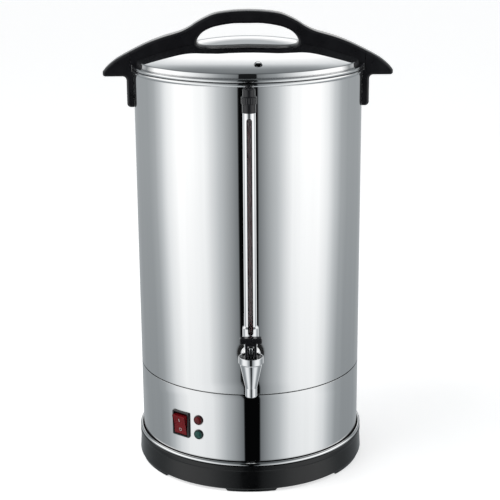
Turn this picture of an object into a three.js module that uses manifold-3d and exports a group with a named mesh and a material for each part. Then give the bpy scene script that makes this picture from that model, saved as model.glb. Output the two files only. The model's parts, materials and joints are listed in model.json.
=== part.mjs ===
// A hot water urn: steel tank on a skirt and a black base ring, lid with an arched handle,
// side handles, pull-lever tap, sight gauge, rocker switch, two lamps and the heater below the tank.
// Lengths are in millimetres and +Z is up. The tap faces -Y. The origin lies on the table,
// under the middle of the whole outline.

import * as THREE from 'three';
import { mergeVertices } from 'three/addons/utils/BufferGeometryUtils.js';
import Module from 'manifold-3d';

const wasm = await Module();
wasm.setup();

// Fits
const touch = 0.3;
const slack = 0.4;
const overrun = 3;

// Facets round a turned piece
const bodySides = 40;
const fittingSides = 16;
const smallSides = 10;
const wireSides = 6;

// Steel body: tank above the seam, skirt below it
const bodyRadius = 135;
const steelWall = 0.8;
const seamHeight = 121.8;
const tankHeight = 363.6;
const rimBeadWidth = 2.8;
const rimBeadHeight = 4;
const tankFloorRise = 12.2;
const tankFloorThickness = 1;
const skirtLap = 9;

// Black base ring and its feet
const footHeight = 3;
const footHalfAngle = THREE.MathUtils.degToRad(13);
const footCount = 6;
const footInset = 9.5;
const baseTop = 37.8;
const baseFlare = 4.9;
const baseWaist = 3.6;
const baseLip = 4.3;
const baseLipHeight = 11.4;
const baseEdge = 1.3;
const baseWall = 1.1;
const shelfRise = 5.6;
const shelfThickness = 4;
const shelfWidth = 26;

// Bottom plate and its screws
const plateThickness = 1;
const plateGap = 0.9;
const plateScrewCount = 3;
const plateSlotCount = 6;
const plateSlotLength = 36;
const plateSlotWidth = 4;
const plateSlotOffset = 62;
const plateScrewRadius = 1.7;
const plateScrewLength = 4.6;
const plateScrewHeadRadius = 3.4;
const plateScrewHeadHeight = 2.1;

// Lid
const domeRise = 24.3;
const lidWallHeight = 5.3;
const lidWallLean = 1.6;
const lidWallInset = 5;
const lidEdgeInset = 2.9;
const lidEdgeRound = 1.6;
const lidBeadHeight = 3.7;
const lidLipDepth = 11.5;
const lidLipClearance = 0.8;
const steamVentInset = 25.5;
const steamVentAngle = THREE.MathUtils.degToRad(5.6);
const steamVentHalfWidth = 4.6;
const steamVentHalfLength = 5.5;
const steamVentHeight = 4.4;

// Handles: one outline runs over the lid from the left ear to the right one
const handleRise = 32.7;
const handleWidth = 28;
const handleBevel = 2.5;
const handleSeamProud = 3.6;
const handleSeamGap = 0.5;
const gripHalf = 60;
const gripRise = 17;
const gripSink = 7;
const lidScrewInset = 40;
const lidScrewRadius = 2.3;
const lidScrewLength = 9;
const lidScrewHeadRadius = 5.2;
const lidScrewHeadHeight = 2.6;
const earOverhang = 27.8;
const earTipDrop = 4.4;
const earTipThickness = 6;
const earTipDepth = 4;
const earTipRound = 3.4;
const earFillet = 4;
const legThickness = 8.4;
const legLength = 36.5;
const legFootRound = 5;
const handleScrewInset = 11.5;
const handleScrewSpacing = 16;
const handleScrewRadius = 2;
const handleScrewReach = 6;
const handleScrewHeadRadius = 4.2;
const handleScrewHeadHeight = 2.4;

// Heater under the tank floor
const heaterPlateMargin = 18;
const heaterPlateThickness = 4;
const elementClearance = 10.5;
const elementTubeRadius = 4;
const elementGap = THREE.MathUtils.degToRad(34);
const elementTail = 9;
const clampStudRadius = 3;
const clampStudLength = 19;
const clampOverhang = 13;
const clampWidth = 18;
const clampThickness = 3;
const clampNutRadius = 5.8;
const clampNutHeight = 5;
const thermostatRadius = 8.2;
const thermostatHeight = 9;
const thermostatFlangeWidth = 3.3;
const thermostatFlangeThickness = 1;
const thermostatTab = 3.2;
const thermostatTabThickness = 0.8;
const thermostatTabLength = 7;
const thermostatGap = 0.8;
const thermostatAngle = THREE.MathUtils.degToRad(30);

// Rocker switch, set into the skirt left of the tap
const switchAngle = THREE.MathUtils.degToRad(-37.8);
const switchRise = 37.2;
const bezelWidth = 25;
const bezelHeight = 31;
const bezelProud = 1.9;
const bezelBevel = 0.5;
const bezelLap = 0.8;
const switchDepth = 24;
const rockerSideMargin = 3;
const rockerEndMargin = 3.2;
const rockerTilt = THREE.MathUtils.degToRad(10);
const rockerPivotDepth = 3;
const rockerDepth = 7;
const rockerTaper = 1.75;
const trunnionRadius = 1.3;
const trunnionLength = 1.2;
const switchPocketDepth = 11;
const switchTabWidth = 6.3;
const switchTabThickness = 0.8;
const switchTabLength = 9;
const switchTabSpacing = 16;

// Lamps between switch and tap
const lampAngle = THREE.MathUtils.degToRad(-27.3);
const boilLampRise = 9.6;
const warmLampDrop = 8.6;
const lampFlange = 1.2;
const lampFlangeWidth = 1.2;
const lampDome = 2;
const lampPlugRadius = 4.8;
const lampPlugLength = 7;
const lampBodyWall = 1.4;
const lampBodyLength = 15;

// Power inlet at the back of the skirt
const inletAngle = Math.PI;
const inletRise = 36.2;
const inletFlangeProud = 2.7;
const inletCorner = 4;
const inletCavityWidth = 25;
const inletCavityHeight = 18;
const inletCavityDepth = 17;
const inletWall = 2.5;
const inletBackWall = 7;
const inletEar = 10;
const inletRim = 3.5;
const inletPinWidth = 4;
const inletPinThickness = 2;
const inletPinLength = 11;
const inletPinSpacing = 14;
const inletPinRise = 2;
const inletScrewRadius = 1.6;
const inletScrewLength = 9;
const inletScrewHeadRadius = 3.1;
const inletScrewHeadHeight = 1.8;

// Wires inside the skirt
const wireRadius = 1.3;
const wireBend = 14;
const wireSteps = 14;

// Tap: a casting with a shank through the tank wall, a gauge boss and a bowl
const tapProud = 45;
const shankRise = 40;
const shankRadius = 8.5;
const shankInside = 15.5;
const shankBore = 4.3;
const tapFlangeRadius = 11.5;
const tapFlangeThickness = 3.2;
const tapSealRadius = 15.2;
const tapSealThickness = 2.4;
const tapNutRadius = 14.5;
const tapNutThickness = 7;
const nozzleDrop = 35.2;
const nozzleLength = 10.7;
const nozzleRadius = 6.6;
const nozzleWall = 2;
const valveSeatRise = 7.5;
const valveSeatWidth = 2;
const coneRise = 4;
const bowlWall = 2.2;
const collarRadius = 14;
const collarLip = 1.4;
const collarHeight = 8.8;
const collarWall = 1.5;
const collarShelfRise = 2;
const bonnetThickness = 2.6;
const bonnetPadRadius = 9.6;
const bonnetPadHeight = 2.9;
const stemRadius = 2.5;
const cupLap = 1.3;
const cupThickness = 3.6;
const cupBossWall = 1.1;
const cupBossHeight = 4;
const stemGrip = 4.4;
const springGap = 0.7;
const springWire = 0.5;
const springTurns = 5;
const springSteps = 40;
const tongueHalf = 3;
const tongueRound = 4.5;
const tongueClearance = 1.5;
const cheekClearance = 0.35;
const pinRise = 8.5;
const pinRadius = 1.5;
const leverTilt = THREE.MathUtils.degToRad(50);
const stemLift = 3.5;
const camSteps = 6;
const leverHalf = 6.5;
const leverBridgeGap = 1.1;
const leverNeckHalf = 5.5;
const barWidth = 25;
const barDepth = 11;
const barRise = 7.8;
const barHeight = 6.7;
const barRound = 2.4;
const barBevel = 0.8;

// Sight gauge: glass tube, slotted shield and the cap that ties it to the wall
const gaugeProud = 17;
const bossRadius = 11.4;
const bossDrop = 11;
const bossShoulderRise = 5;
const bossTaper = 8;
const bossNeckWall = 2.8;
const bossCupHeight = 13.9;
const bossRimWall = 2.1;
const gaugeBore = 3;
const glassRadius = 4.5;
const glassWall = 1.1;
const glassSocketDepth = 9.9;
const glassSeat = 4;
const glassCover = 1;
const sealWidth = 2.5;
const shieldGap = 2.6;
const shieldWall = 1;
const shieldCollarHeight = 9.8;
const slotWidth = 6.2;
const slotFootInset = 2.6;
const slotTopInset = 5.4;
const stripWidth = 5;
const stripThickness = 0.4;
const armRadius = 4.4;
const armDrop = 15.9;
const capDrop = 13.4;
const capSkirtProud = 0.5;
const capSkirtHeight = 9.2;
const capRingProud = 1.1;
const capRingHeight = 8.5;
const capHeadInset = 1.8;
const capHeadHeight = 8.1;
const capRound = 0.8;
const gaugeStudRadius = 2;
const gaugeStudGrip = 5;
const gaugeStudInside = 7;
const gaugeNutRadius = 4.2;
const gaugeNutThickness = 3;

// Places on the body that follow from them
const innerRadius = bodyRadius - steelWall;
const rimTop = seamHeight + tankHeight;
const tankFoot = seamHeight + touch / 2;
const skirtTop = seamHeight - touch / 2;
const tankFloorHeight = seamHeight + tankFloorRise;
const ringBore = bodyRadius + touch;
const footRadius = bodyRadius + baseFlare;
const shelfTop = footHeight + shelfRise;

// Places on the lid and the handles
const lidUnderside = rimTop + touch;
const rimRadius = innerRadius + rimBeadWidth;
const lidFlangeTop = lidUnderside + lidBeadHeight;
const lidWallFoot = rimRadius - lidWallInset;
const lidWallTop = lidWallFoot - lidWallLean;
const lidEdgeRadius = lidWallTop - lidEdgeInset;
const lidCrown = lidFlangeTop + lidWallHeight + domeRise;
const lidCurveRadius = (lidWallTop ** 2 + domeRise ** 2) / (domeRise * 2);
const steamVentRadius = bodyRadius - steamVentInset;
const lidScrewReach = bodyRadius - lidScrewInset;
const handleCrest = lidCrown + handleRise;
const handleTip = rimTop - earTipDrop;
const handleSeamRadius = bodyRadius + handleSeamProud;
const gripTop = lidCrown + gripRise;
const gripFoot = lidCrown - gripSink;
const legOuter = bodyRadius + touch + legThickness;
const handleReach = legOuter + earOverhang;
const earUnderside = handleTip - earTipThickness;
const earUndersideReach = handleReach - earTipDepth;
const legFoot = earUnderside - legLength;
const handleScrewHeights = [legFoot + handleScrewInset, legFoot + handleScrewInset + handleScrewSpacing];

// Places inside and on the skirt
const thermostatFlangeRadius = thermostatRadius + thermostatFlangeWidth;
const thermostatOffset = (clampWidth / 2 + thermostatRadius + thermostatGap) / Math.sin(thermostatAngle);
const elementRadius = thermostatOffset + thermostatFlangeRadius + elementClearance + elementTubeRadius;
const heaterPlateRadius = elementRadius + elementTubeRadius + heaterPlateMargin;
const clampLength = (elementRadius + clampOverhang) * 2;
const switchHeight = baseTop + switchRise;
const switchBodyWidth = bezelWidth - bezelLap * 2;
const switchBodyHeight = bezelHeight - bezelLap * 2;
const rockerWidth = bezelWidth - rockerSideMargin * 2;
const rockerHalfHeight = bezelHeight / 2 - rockerEndMargin;
const boilLampHeight = switchHeight + boilLampRise;
const warmLampHeight = switchHeight - warmLampDrop;
const lampRadius = lampPlugRadius + lampFlangeWidth;
const lampBodyRadius = lampPlugRadius + lampBodyWall;
const inletHeight = baseTop + inletRise;
const inletBodyWidth = inletCavityWidth + inletWall * 2;
const inletBodyHeight = inletCavityHeight + inletWall * 2;
const inletBodyDepth = inletCavityDepth + inletBackWall;
const inletFlangeWidth = inletBodyWidth + inletEar * 2;
const inletFlangeHeight = inletBodyHeight + inletRim * 2;
const inletScrewSpacing = inletBodyWidth + inletEar;
const inletReach = bodyRadius + inletFlangeProud + touch + inletScrewHeadHeight;

// Places on the tap
const tapReach = bodyRadius + tapProud;
const shankHeight = tankFloorHeight + shankRise;
const nozzleFoot = shankHeight - nozzleDrop;
const nozzleTop = nozzleFoot + nozzleLength;
const nozzleBore = nozzleRadius - nozzleWall;
const valveSeatHeight = nozzleTop + valveSeatRise;
const coneTop = shankHeight + coneRise;
const coneRadius = collarRadius - collarLip;
const collarTop = coneTop + collarHeight;
const collarShelf = coneTop + collarShelfRise;
const bonnetEdgeTop = collarShelf + bonnetThickness;
const bonnetPadTop = bonnetEdgeTop + bonnetPadHeight;
const cupRadius = nozzleBore + cupLap;
const cupBossRadius = stemRadius + cupBossWall;
const springRadius = cupBossRadius + springWire + springGap;
const tongueFoot = bonnetPadTop + tongueClearance;
const pinHeight = bonnetPadTop + pinRise;
const leverBridge = tongueRound + leverBridgeGap;
const barBottom = pinHeight + barRise;
const barTop = barBottom + barHeight;

// Places on the gauge
const gaugeReach = bodyRadius + gaugeProud;
const gaugeBack = tapReach - gaugeReach;
const bowlBack = tapReach - bodyRadius;
const bossFoot = shankHeight - bossDrop;
const bossShoulder = shankHeight + bossShoulderRise;
const bossNeckHeight = bossShoulder + bossTaper;
const bossNeckRadius = glassRadius + bossNeckWall;
const bossTop = bossNeckHeight + bossCupHeight;
const glassFoot = bossTop - glassSocketDepth;
const socketFloor = glassFoot + glassSeat;
const socketRadius = glassRadius + sealWidth;
const bossRimRadius = socketRadius + bossRimWall;
const armHeight = rimTop - armDrop;
const glassTop = armHeight + glassCover;
const capFoot = armHeight - capDrop;
const capSkirtTop = capFoot + capSkirtHeight;
const capRingTop = capSkirtTop + capRingHeight;
const capTop = capRingTop + capHeadHeight;
const shieldRadius = glassRadius + shieldGap;
const shieldFoot = bossTop + touch;
const shieldTop = capFoot - touch;
const shieldCollarTop = shieldFoot + shieldCollarHeight;
const slotFoot = shieldFoot + slotFootInset;
const slotTop = shieldTop - slotTopInset;
const capSkirtRadius = shieldRadius + capSkirtProud;
const capRingRadius = capSkirtRadius + capRingProud;
const capHeadRadius = capRingRadius - capHeadInset;

// How far the origin lies behind the tank's axis
const middleY = (tapReach + collarRadius - Math.max(footRadius, inletReach)) / 2;

// Finishes
const steel = new THREE.MeshStandardMaterial({ color: 0xc9cccd, roughness: 0.12, metalness: 1 });
const chrome = new THREE.MeshStandardMaterial({ color: 0xe2e4e5, roughness: 0.06, metalness: 1 });
const black = new THREE.MeshStandardMaterial({ color: 0x17181a, roughness: 0.42 });
const satinBlack = new THREE.MeshStandardMaterial({ color: 0x2a2c2f, roughness: 0.55 });
const rubber = new THREE.MeshStandardMaterial({ color: 0x1d1d1d, roughness: 0.85 });
const silicone = new THREE.MeshStandardMaterial({ color: 0xd9d4c8, roughness: 0.6 });
const brass = new THREE.MeshStandardMaterial({ color: 0xb99a52, roughness: 0.3, metalness: 1 });
const aluminium = new THREE.MeshStandardMaterial({ color: 0xb2b5b7, roughness: 0.4, metalness: 1 });
const zinc = new THREE.MeshStandardMaterial({ color: 0xb6b9ba, roughness: 0.35, metalness: 1 });
const glass = new THREE.MeshStandardMaterial({
  color: 0xe8f2f2, roughness: 0.02, transparent: true, opacity: 0.35,
});
const redPlastic = new THREE.MeshStandardMaterial({ color: 0xb3131c, roughness: 0.3 });
const greenPlastic = new THREE.MeshStandardMaterial({ color: 0x2f8a45, roughness: 0.25 });
const stripRed = new THREE.MeshStandardMaterial({ color: 0x6d3438, roughness: 0.5 });
const wireBrown = new THREE.MeshStandardMaterial({ color: 0x5c3a23, roughness: 0.5 });
const wireBlue = new THREE.MeshStandardMaterial({ color: 0x2b5c9c, roughness: 0.5 });

// Meshes

// The geometry as one indexed closed surface that faces out.
// One that has been through here keeps no normals.
function closed(geometry) {
  if (!geometry.hasAttribute('normal')) {
    return geometry;
  }
  const bare = geometry.clone();
  bare.deleteAttribute('normal');
  bare.deleteAttribute('uv');
  const merged = mergeVertices(bare);
  const index = merged.getIndex().array;
  const kept = [];
  for (let i = 0; i < index.length; i += 3) {
    const [a, b, c] = [index[i], index[i + 1], index[i + 2]];
    if (a !== b && b !== c && c !== a) {
      kept.push(a, b, c);
    }
  }
  merged.setIndex(kept);
  return volume(merged) < 0 ? flipped(merged) : merged;
}

function volume(geometry) {
  const place = geometry.getAttribute('position');
  const index = geometry.getIndex().array;
  const [a, b, c] = [new THREE.Vector3(), new THREE.Vector3(), new THREE.Vector3()];
  let sum = 0;
  for (let i = 0; i < index.length; i += 3) {
    a.fromBufferAttribute(place, index[i]);
    b.fromBufferAttribute(place, index[i + 1]);
    c.fromBufferAttribute(place, index[i + 2]);
    sum += a.dot(b.cross(c)) / 6;
  }
  return sum;
}

function flipped(geometry) {
  const index = Array.from(geometry.getIndex().array);
  for (let i = 0; i < index.length; i += 3) {
    [index[i + 1], index[i + 2]] = [index[i + 2], index[i + 1]];
  }
  geometry.setIndex(index);
  return geometry;
}

function solid(geometry) {
  const surface = closed(geometry);
  const vertProperties = new Float32Array(surface.getAttribute('position').array);
  const triVerts = new Uint32Array(surface.getIndex().array);
  return new wasm.Manifold(new wasm.Mesh({ numProp: 3, vertProperties, triVerts }));
}

function surfaceOf(manifold) {
  const mesh = manifold.getMesh();
  const geometry = new THREE.BufferGeometry();
  geometry.setAttribute('position', new THREE.BufferAttribute(new Float32Array(mesh.vertProperties), 3));
  geometry.setIndex(Array.from(mesh.triVerts));
  return geometry;
}

function join(...geometries) {
  return surfaceOf(geometries.map(solid).reduce((sum, next) => sum.add(next)));
}

function cut(geometry, ...tools) {
  return surfaceOf(tools.map(solid).reduce((sum, next) => sum.subtract(next), solid(geometry)));
}

function common(geometry, tool) {
  return surfaceOf(solid(geometry).intersect(solid(tool)));
}

function moved(geometry, x, y, z) {
  return geometry.clone().translate(x, y, z);
}

function spun(geometry, angle) {
  return geometry.clone().rotateZ(angle);
}

// Shapes

// A profile of [radius, height] points turned about Z, with a facet corner at the front.
function turned(profile, sides = fittingSides) {
  const points = profile.map(([radius, height]) => new THREE.Vector2(radius, height));
  if (profile[0][0] > 0 || profile[profile.length - 1][0] > 0) {
    points.push(points[0].clone());
  }
  return closed(new THREE.LatheGeometry(points, sides)).rotateX(Math.PI / 2);
}

// A full cylinder about Z from one height to another.
function drum(radius, from, to, sides = fittingSides) {
  return turned([[0, from], [radius, from], [radius, to], [0, to]], sides);
}

// A full cylinder about an axis along Y at height z, between two places on Y.
function rodY(radius, from, to, z, sides = fittingSides) {
  return moved(drum(radius, from, to, sides).rotateX(-Math.PI / 2), 0, 0, z);
}

// A full cylinder about an axis along X at height z, between two places on X.
function rodX(radius, from, to, z, sides = fittingSides) {
  return moved(drum(radius, from, to, sides).rotateY(Math.PI / 2), 0, 0, z);
}

function ring(inner, outer, from, to, sides = fittingSides) {
  return turned([[inner, from], [outer, from], [outer, to], [inner, to]], sides);
}

function block(width, depth, height) {
  return closed(new THREE.BoxGeometry(width, depth, height));
}

function ovalArc(centreX, centreY, halfX, halfY, from, to, steps) {
  const points = [];
  for (let i = 0; i <= steps; i += 1) {
    const angle = from + (to - from) * i / steps;
    points.push([centreX + halfX * Math.cos(angle), centreY + halfY * Math.sin(angle)]);
  }
  return points;
}

function outline(points) {
  return new THREE.Shape(points.map(([x, y]) => new THREE.Vector2(x, y)));
}

function roundedRectangle(width, height, radius) {
  const [x, y] = [width / 2 - radius, height / 2 - radius];
  const steps = 3;
  return outline([
    ...ovalArc(x, y, radius, radius, 0, Math.PI / 2, steps),
    ...ovalArc(-x, y, radius, radius, Math.PI / 2, Math.PI, steps),
    ...ovalArc(-x, -y, radius, radius, Math.PI, Math.PI * 3 / 2, steps),
    ...ovalArc(x, -y, radius, radius, Math.PI * 3 / 2, Math.PI * 2, steps),
  ]);
}

function slotOutline(length, width) {
  const steps = 6;
  const [half, radius] = [length / 2 - width / 2, width / 2];
  return outline([
    ...ovalArc(half, 0, radius, radius, -Math.PI / 2, Math.PI / 2, steps),
    ...ovalArc(-half, 0, radius, radius, Math.PI / 2, Math.PI * 3 / 2, steps),
  ]);
}

// A shape as thick as depth in all, centred on its own plane.
function slab(shape, depth, bevel = 0) {
  const options = {
    depth: depth - bevel * 2,
    bevelEnabled: bevel > 0,
    bevelThickness: bevel,
    bevelSize: bevel,
    bevelOffset: -bevel,
    bevelSegments: 2,
    curveSegments: 5,
  };
  return closed(new THREE.ExtrudeGeometry(shape, options)).translate(0, 0, -(depth - bevel * 2) / 2);
}

// The same with the shape's X along X and its Y upright, thick along Y.
function uprightSlab(shape, depth, bevel = 0) {
  return slab(shape, depth, bevel).rotateX(Math.PI / 2);
}

// The same with the shape's X towards -Y, thick along X.
function sideSlab(shape, depth, bevel = 0) {
  return uprightSlab(shape, depth, bevel).rotateZ(-Math.PI / 2);
}

// A round wire or tube along a curve.
function wireAlong(curve, radius, steps, sides = wireSides) {
  const points = ovalArc(0, 0, radius, radius, 0, Math.PI * 2 * (sides - 1) / sides, sides - 1);
  return closed(new THREE.ExtrudeGeometry(
    outline(points), { steps, extrudePath: curve, bevelEnabled: false },
  ));
}

function curveThrough(points) {
  return new THREE.CatmullRomCurve3(points.map(([x, y, z]) => new THREE.Vector3(x, y, z)));
}

// A hexagon nut about Z with a round bore.
function hexagonNut(radius, from, to, bore) {
  return cut(drum(radius, from, to, 6), drum(bore, from - overrun, to + overrun));
}

// How far out a flat face as wide as twice halfWidth may go inside a round wall.
function flatInside(radius, halfWidth) {
  const facet = radius * (1 - Math.cos(Math.PI / bodySides));
  return Math.sqrt(radius ** 2 - halfWidth ** 2) - facet - touch;
}

// A screw along Z whose head lies below zero and whose shank goes up from it.
function screw(headRadius, headHeight, radius, length) {
  const edge = headHeight / 3;
  return turned([
    [0, -headHeight],
    [headRadius - edge, -headHeight],
    [headRadius, edge - headHeight],
    [headRadius, 0],
    [radius, 0],
    [radius, length],
    [0, length],
  ], smallSides);
}

const urn = new THREE.Group();
urn.position.y = middleY;

function add(name, geometry, material, parent = urn) {
  const mesh = new THREE.Mesh(closed(geometry), material);
  mesh.name = name;
  parent.add(mesh);
  return mesh;
}

// Groups for what is set into the wall: built at the front, then swung round the urn's axis.
function wallGroup(angle, height) {
  const group = new THREE.Group();
  group.rotation.z = angle;
  group.position.z = height;
  urn.add(group);
  return group;
}

function onWall(geometry, angle, height) {
  return moved(spun(geometry, angle), 0, 0, height);
}

// Everything inside a given radius, as tall as the urn.
function core(radius) {
  return drum(radius, -handleCrest, handleCrest, bodySides);
}

// Tank and skirt

const rimCentreRadius = innerRadius + rimBeadWidth / 2;
const rimArc = ovalArc(
  rimCentreRadius, rimTop - rimBeadHeight / 2, rimBeadWidth / 2, rimBeadHeight / 2,
  -Math.PI / 2, Math.PI, 6,
);

const handleScrewHoles = [0, Math.PI].flatMap((angle) => handleScrewHeights.map((height) => (
  spun(
    rodX(handleScrewRadius + slack, innerRadius - overrun, bodyRadius + overrun, height, smallSides), angle,
  )
)));

const tankBlank = turned([
  [0, tankFloorHeight],
  [innerRadius, tankFloorHeight],
  [innerRadius, tankFoot],
  [bodyRadius, tankFoot],
  [bodyRadius, rimTop - rimBeadHeight - touch],
  ...rimArc,
  [innerRadius, tankFloorHeight + tankFloorThickness],
  [0, tankFloorHeight + tankFloorThickness],
], bodySides);
const clampStud = drum(
  clampStudRadius, tankFloorHeight - clampStudLength, tankFloorHeight + tankFloorThickness / 2, smallSides,
);
add('tank_shell', cut(
  join(tankBlank, clampStud),
  rodY(shankRadius + slack, -bodyRadius - overrun, -innerRadius + overrun, shankHeight),
  rodY(gaugeStudRadius + slack, -bodyRadius - overrun, -innerRadius + overrun, armHeight, smallSides),
  ...handleScrewHoles,
), steel);

const lapRadius = innerRadius - touch;
const skirtFoot = shelfTop + touch;
const skirtBlank = turned([
  [innerRadius, skirtFoot],
  [bodyRadius, skirtFoot],
  [bodyRadius, skirtTop],
  [lapRadius, skirtTop],
  [lapRadius, skirtTop + skirtLap],
  [lapRadius - steelWall, skirtTop + skirtLap],
  [lapRadius - steelWall, skirtTop - steelWall],
  [innerRadius, skirtTop - steelWall],
], bodySides);

// A cutter at the front that goes through the wall with a given section.
function wallCutter(shape) {
  const thickness = bodyRadius - innerRadius + overrun * 2;
  return moved(uprightSlab(shape, thickness), 0, -(bodyRadius + innerRadius) / 2, 0);
}

function rectangle(width, height) {
  return outline([
    [-width / 2, -height / 2],
    [width / 2, -height / 2],
    [width / 2, height / 2],
    [-width / 2, height / 2],
  ]);
}

const lampHole = rodY(lampPlugRadius + slack, -bodyRadius - overrun, -innerRadius + overrun, 0, smallSides);
const inletScrewHole = rodY(
  inletScrewRadius + slack, -bodyRadius - inletFlangeProud - overrun, -innerRadius + overrun, 0, smallSides,
);
add('skirt_shell', cut(
  skirtBlank,
  onWall(
    wallCutter(rectangle(switchBodyWidth + slack * 2, switchBodyHeight + slack * 2)),
    switchAngle, switchHeight,
  ),
  onWall(lampHole, lampAngle, boilLampHeight),
  onWall(lampHole, lampAngle, warmLampHeight),
  onWall(
    wallCutter(rectangle(inletBodyWidth + slack * 2, inletBodyHeight + slack * 2)),
    inletAngle, inletHeight,
  ),
  onWall(moved(inletScrewHole, inletScrewSpacing / 2, 0, 0), inletAngle, inletHeight),
  onWall(moved(inletScrewHole, -inletScrewSpacing / 2, 0, 0), inletAngle, inletHeight),
), steel);

// Base ring with six feet, and the bottom plate under its shelf

const shelfInner = ringBore - shelfWidth;
const shelfUnderside = shelfTop - shelfThickness;
const wallInner = ringBore - baseWall;
const lipBottom = baseTop - baseLipHeight;
const baseBlank = turned([
  [wallInner, footHeight],
  [footRadius - baseEdge, footHeight],
  [footRadius, footHeight + baseEdge],
  [bodyRadius + baseWaist, lipBottom],
  [bodyRadius + baseLip, lipBottom + baseLip - baseWaist],
  [bodyRadius + baseLip, baseTop - baseEdge],
  [bodyRadius + baseLip - baseEdge, baseTop],
  [ringBore, baseTop],
  [ringBore, shelfTop],
  [shelfInner, shelfTop],
  [shelfInner, shelfUnderside],
  [wallInner, shelfUnderside],
], bodySides);

const footInner = wallInner - footInset;
const footOuter = footRadius - baseEdge;
const footTop = (footHeight + shelfTop) / 2;
function footPad() {
  const steps = 4;
  const [from, to] = [-Math.PI / 2 - footHalfAngle, -Math.PI / 2 + footHalfAngle];
  const section = outline([
    ...ovalArc(0, 0, footOuter, footOuter, from, to, steps),
    ...ovalArc(0, 0, footInner, footInner, to, from, steps),
  ]);
  return moved(slab(section, footTop), 0, 0, footTop / 2);
}

const plateRadius = footInner - plateGap;
const plateScrewRadiusFromAxis = (shelfInner + plateRadius) / 2;
const plateScrewAngles = Array.from({ length: plateScrewCount }, (_, i) => (
  Math.PI / footCount + Math.PI * 2 * i / plateScrewCount
));
const plateScrewHole = moved(
  drum(plateScrewRadius + slack, 0, shelfTop + overrun, smallSides), 0, -plateScrewRadiusFromAxis, 0,
);
const feet = Array.from({ length: footCount }, (_, i) => spun(footPad(), Math.PI * 2 * i / footCount));
add('base_ring', cut(
  join(baseBlank, ...feet),
  ...plateScrewAngles.map((angle) => spun(plateScrewHole, angle)),
), satinBlack);

const plateTop = shelfUnderside - touch;
const plateUnderside = plateTop - plateThickness;
const plateSlot = moved(
  slab(slotOutline(plateSlotLength, plateSlotWidth), overrun * 2), 0, -plateSlotOffset, plateTop,
);
const plateSlots = Array.from({ length: plateSlotCount }, (_, i) => (
  spun(plateSlot, Math.PI * 2 * i / plateSlotCount)
));
add('bottom_plate', cut(
  drum(plateRadius, plateUnderside, plateTop, bodySides),
  ...plateSlots,
  ...plateScrewAngles.map((angle) => spun(plateScrewHole, angle)),
), zinc);
plateScrewAngles.forEach((angle, i) => {
  const group = wallGroup(angle, plateUnderside - touch);
  const piece = screw(plateScrewHeadRadius, plateScrewHeadHeight, plateScrewRadius, plateScrewLength);
  add(`plate_screw_${i + 1}`, moved(piece, 0, -plateScrewRadiusFromAxis, 0), zinc, group);
});

// Lid: a shallow dome on an upright wall, a rolled edge and a lip that drops into the tank

function domeHeight(radius) {
  return lidCrown - lidCurveRadius + Math.sqrt(lidCurveRadius ** 2 - radius ** 2);
}

const domeSteps = 5;
const domeArc = Array.from({ length: domeSteps + 1 }, (_, i) => {
  const radius = lidEdgeRadius * i / domeSteps;
  return [radius, domeHeight(radius)];
});
const lidOuter = [
  ...domeArc,
  [lidWallTop - lidEdgeRound / 2, domeHeight(lidWallTop)],
  [lidWallTop, domeHeight(lidWallTop) - lidEdgeRound],
  [lidWallFoot, lidFlangeTop],
];
const lidLipRadius = innerRadius - lidLipClearance;
const lidLipInner = lidLipRadius - steelWall;
const lidBeadArc = ovalArc(
  rimCentreRadius, lidUnderside + lidBeadHeight / 2, rimBeadWidth / 2, lidBeadHeight / 2,
  Math.PI / 2, -Math.PI / 2, 4,
);
const lidBlank = turned([
  ...lidOuter,
  ...lidBeadArc,
  [lidLipRadius, lidUnderside],
  [lidLipRadius, lidUnderside - lidLipDepth],
  [lidLipInner, lidUnderside - lidLipDepth],
  [lidLipInner, lidFlangeTop - steelWall * 2],
  [lidWallFoot - steelWall, lidFlangeTop - steelWall],
  [lidWallTop - steelWall, domeHeight(lidWallTop) - lidEdgeRound - steelWall],
  ...domeArc.slice().reverse().map(([radius, height]) => [radius, height - steelWall]),
], bodySides);

// A small louver pressed up out of the dome, open towards the front
const ventHeight = domeHeight(steamVentRadius);
function ventBall(shrink) {
  const [x, y, z] = [steamVentHalfWidth, steamVentHalfLength, steamVentHeight].map((size) => size - shrink);
  return moved(closed(new THREE.SphereGeometry(1, 10, 6)).scale(x, y, z), 0, -steamVentRadius, ventHeight);
}
const ventMouth = moved(
  block((steamVentHalfWidth - steelWall) * 2, steamVentHalfLength * 2, steamVentHeight - steelWall),
  0, -steamVentRadius - steamVentHalfLength, ventHeight,
);
const ventHood = spun(ventBall(0), steamVentAngle);
const ventHollow = [ventBall(steelWall), common(ventMouth, ventBall(-steelWall))].map((piece) => (
  spun(piece, steamVentAngle)
));

const lidScrewTilt = Math.asin(lidScrewReach / lidCurveRadius);
const lidScrewHeight = domeHeight(lidScrewReach);
function atLidScrew(geometry, side) {
  return moved(geometry.clone().rotateY(lidScrewTilt * side), lidScrewReach * side, 0, lidScrewHeight);
}
const lidScrewHole = drum(lidScrewRadius + slack, -overrun, lidScrewLength + touch, smallSides);
add('lid_shell', cut(
  join(lidBlank, ventHood),
  ...ventHollow,
  atLidScrew(lidScrewHole, 1),
  atLidScrew(lidScrewHole, -1),
), steel);

// Handles: the crown line runs from tip to tip as shares of the reach and of the rise

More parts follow.
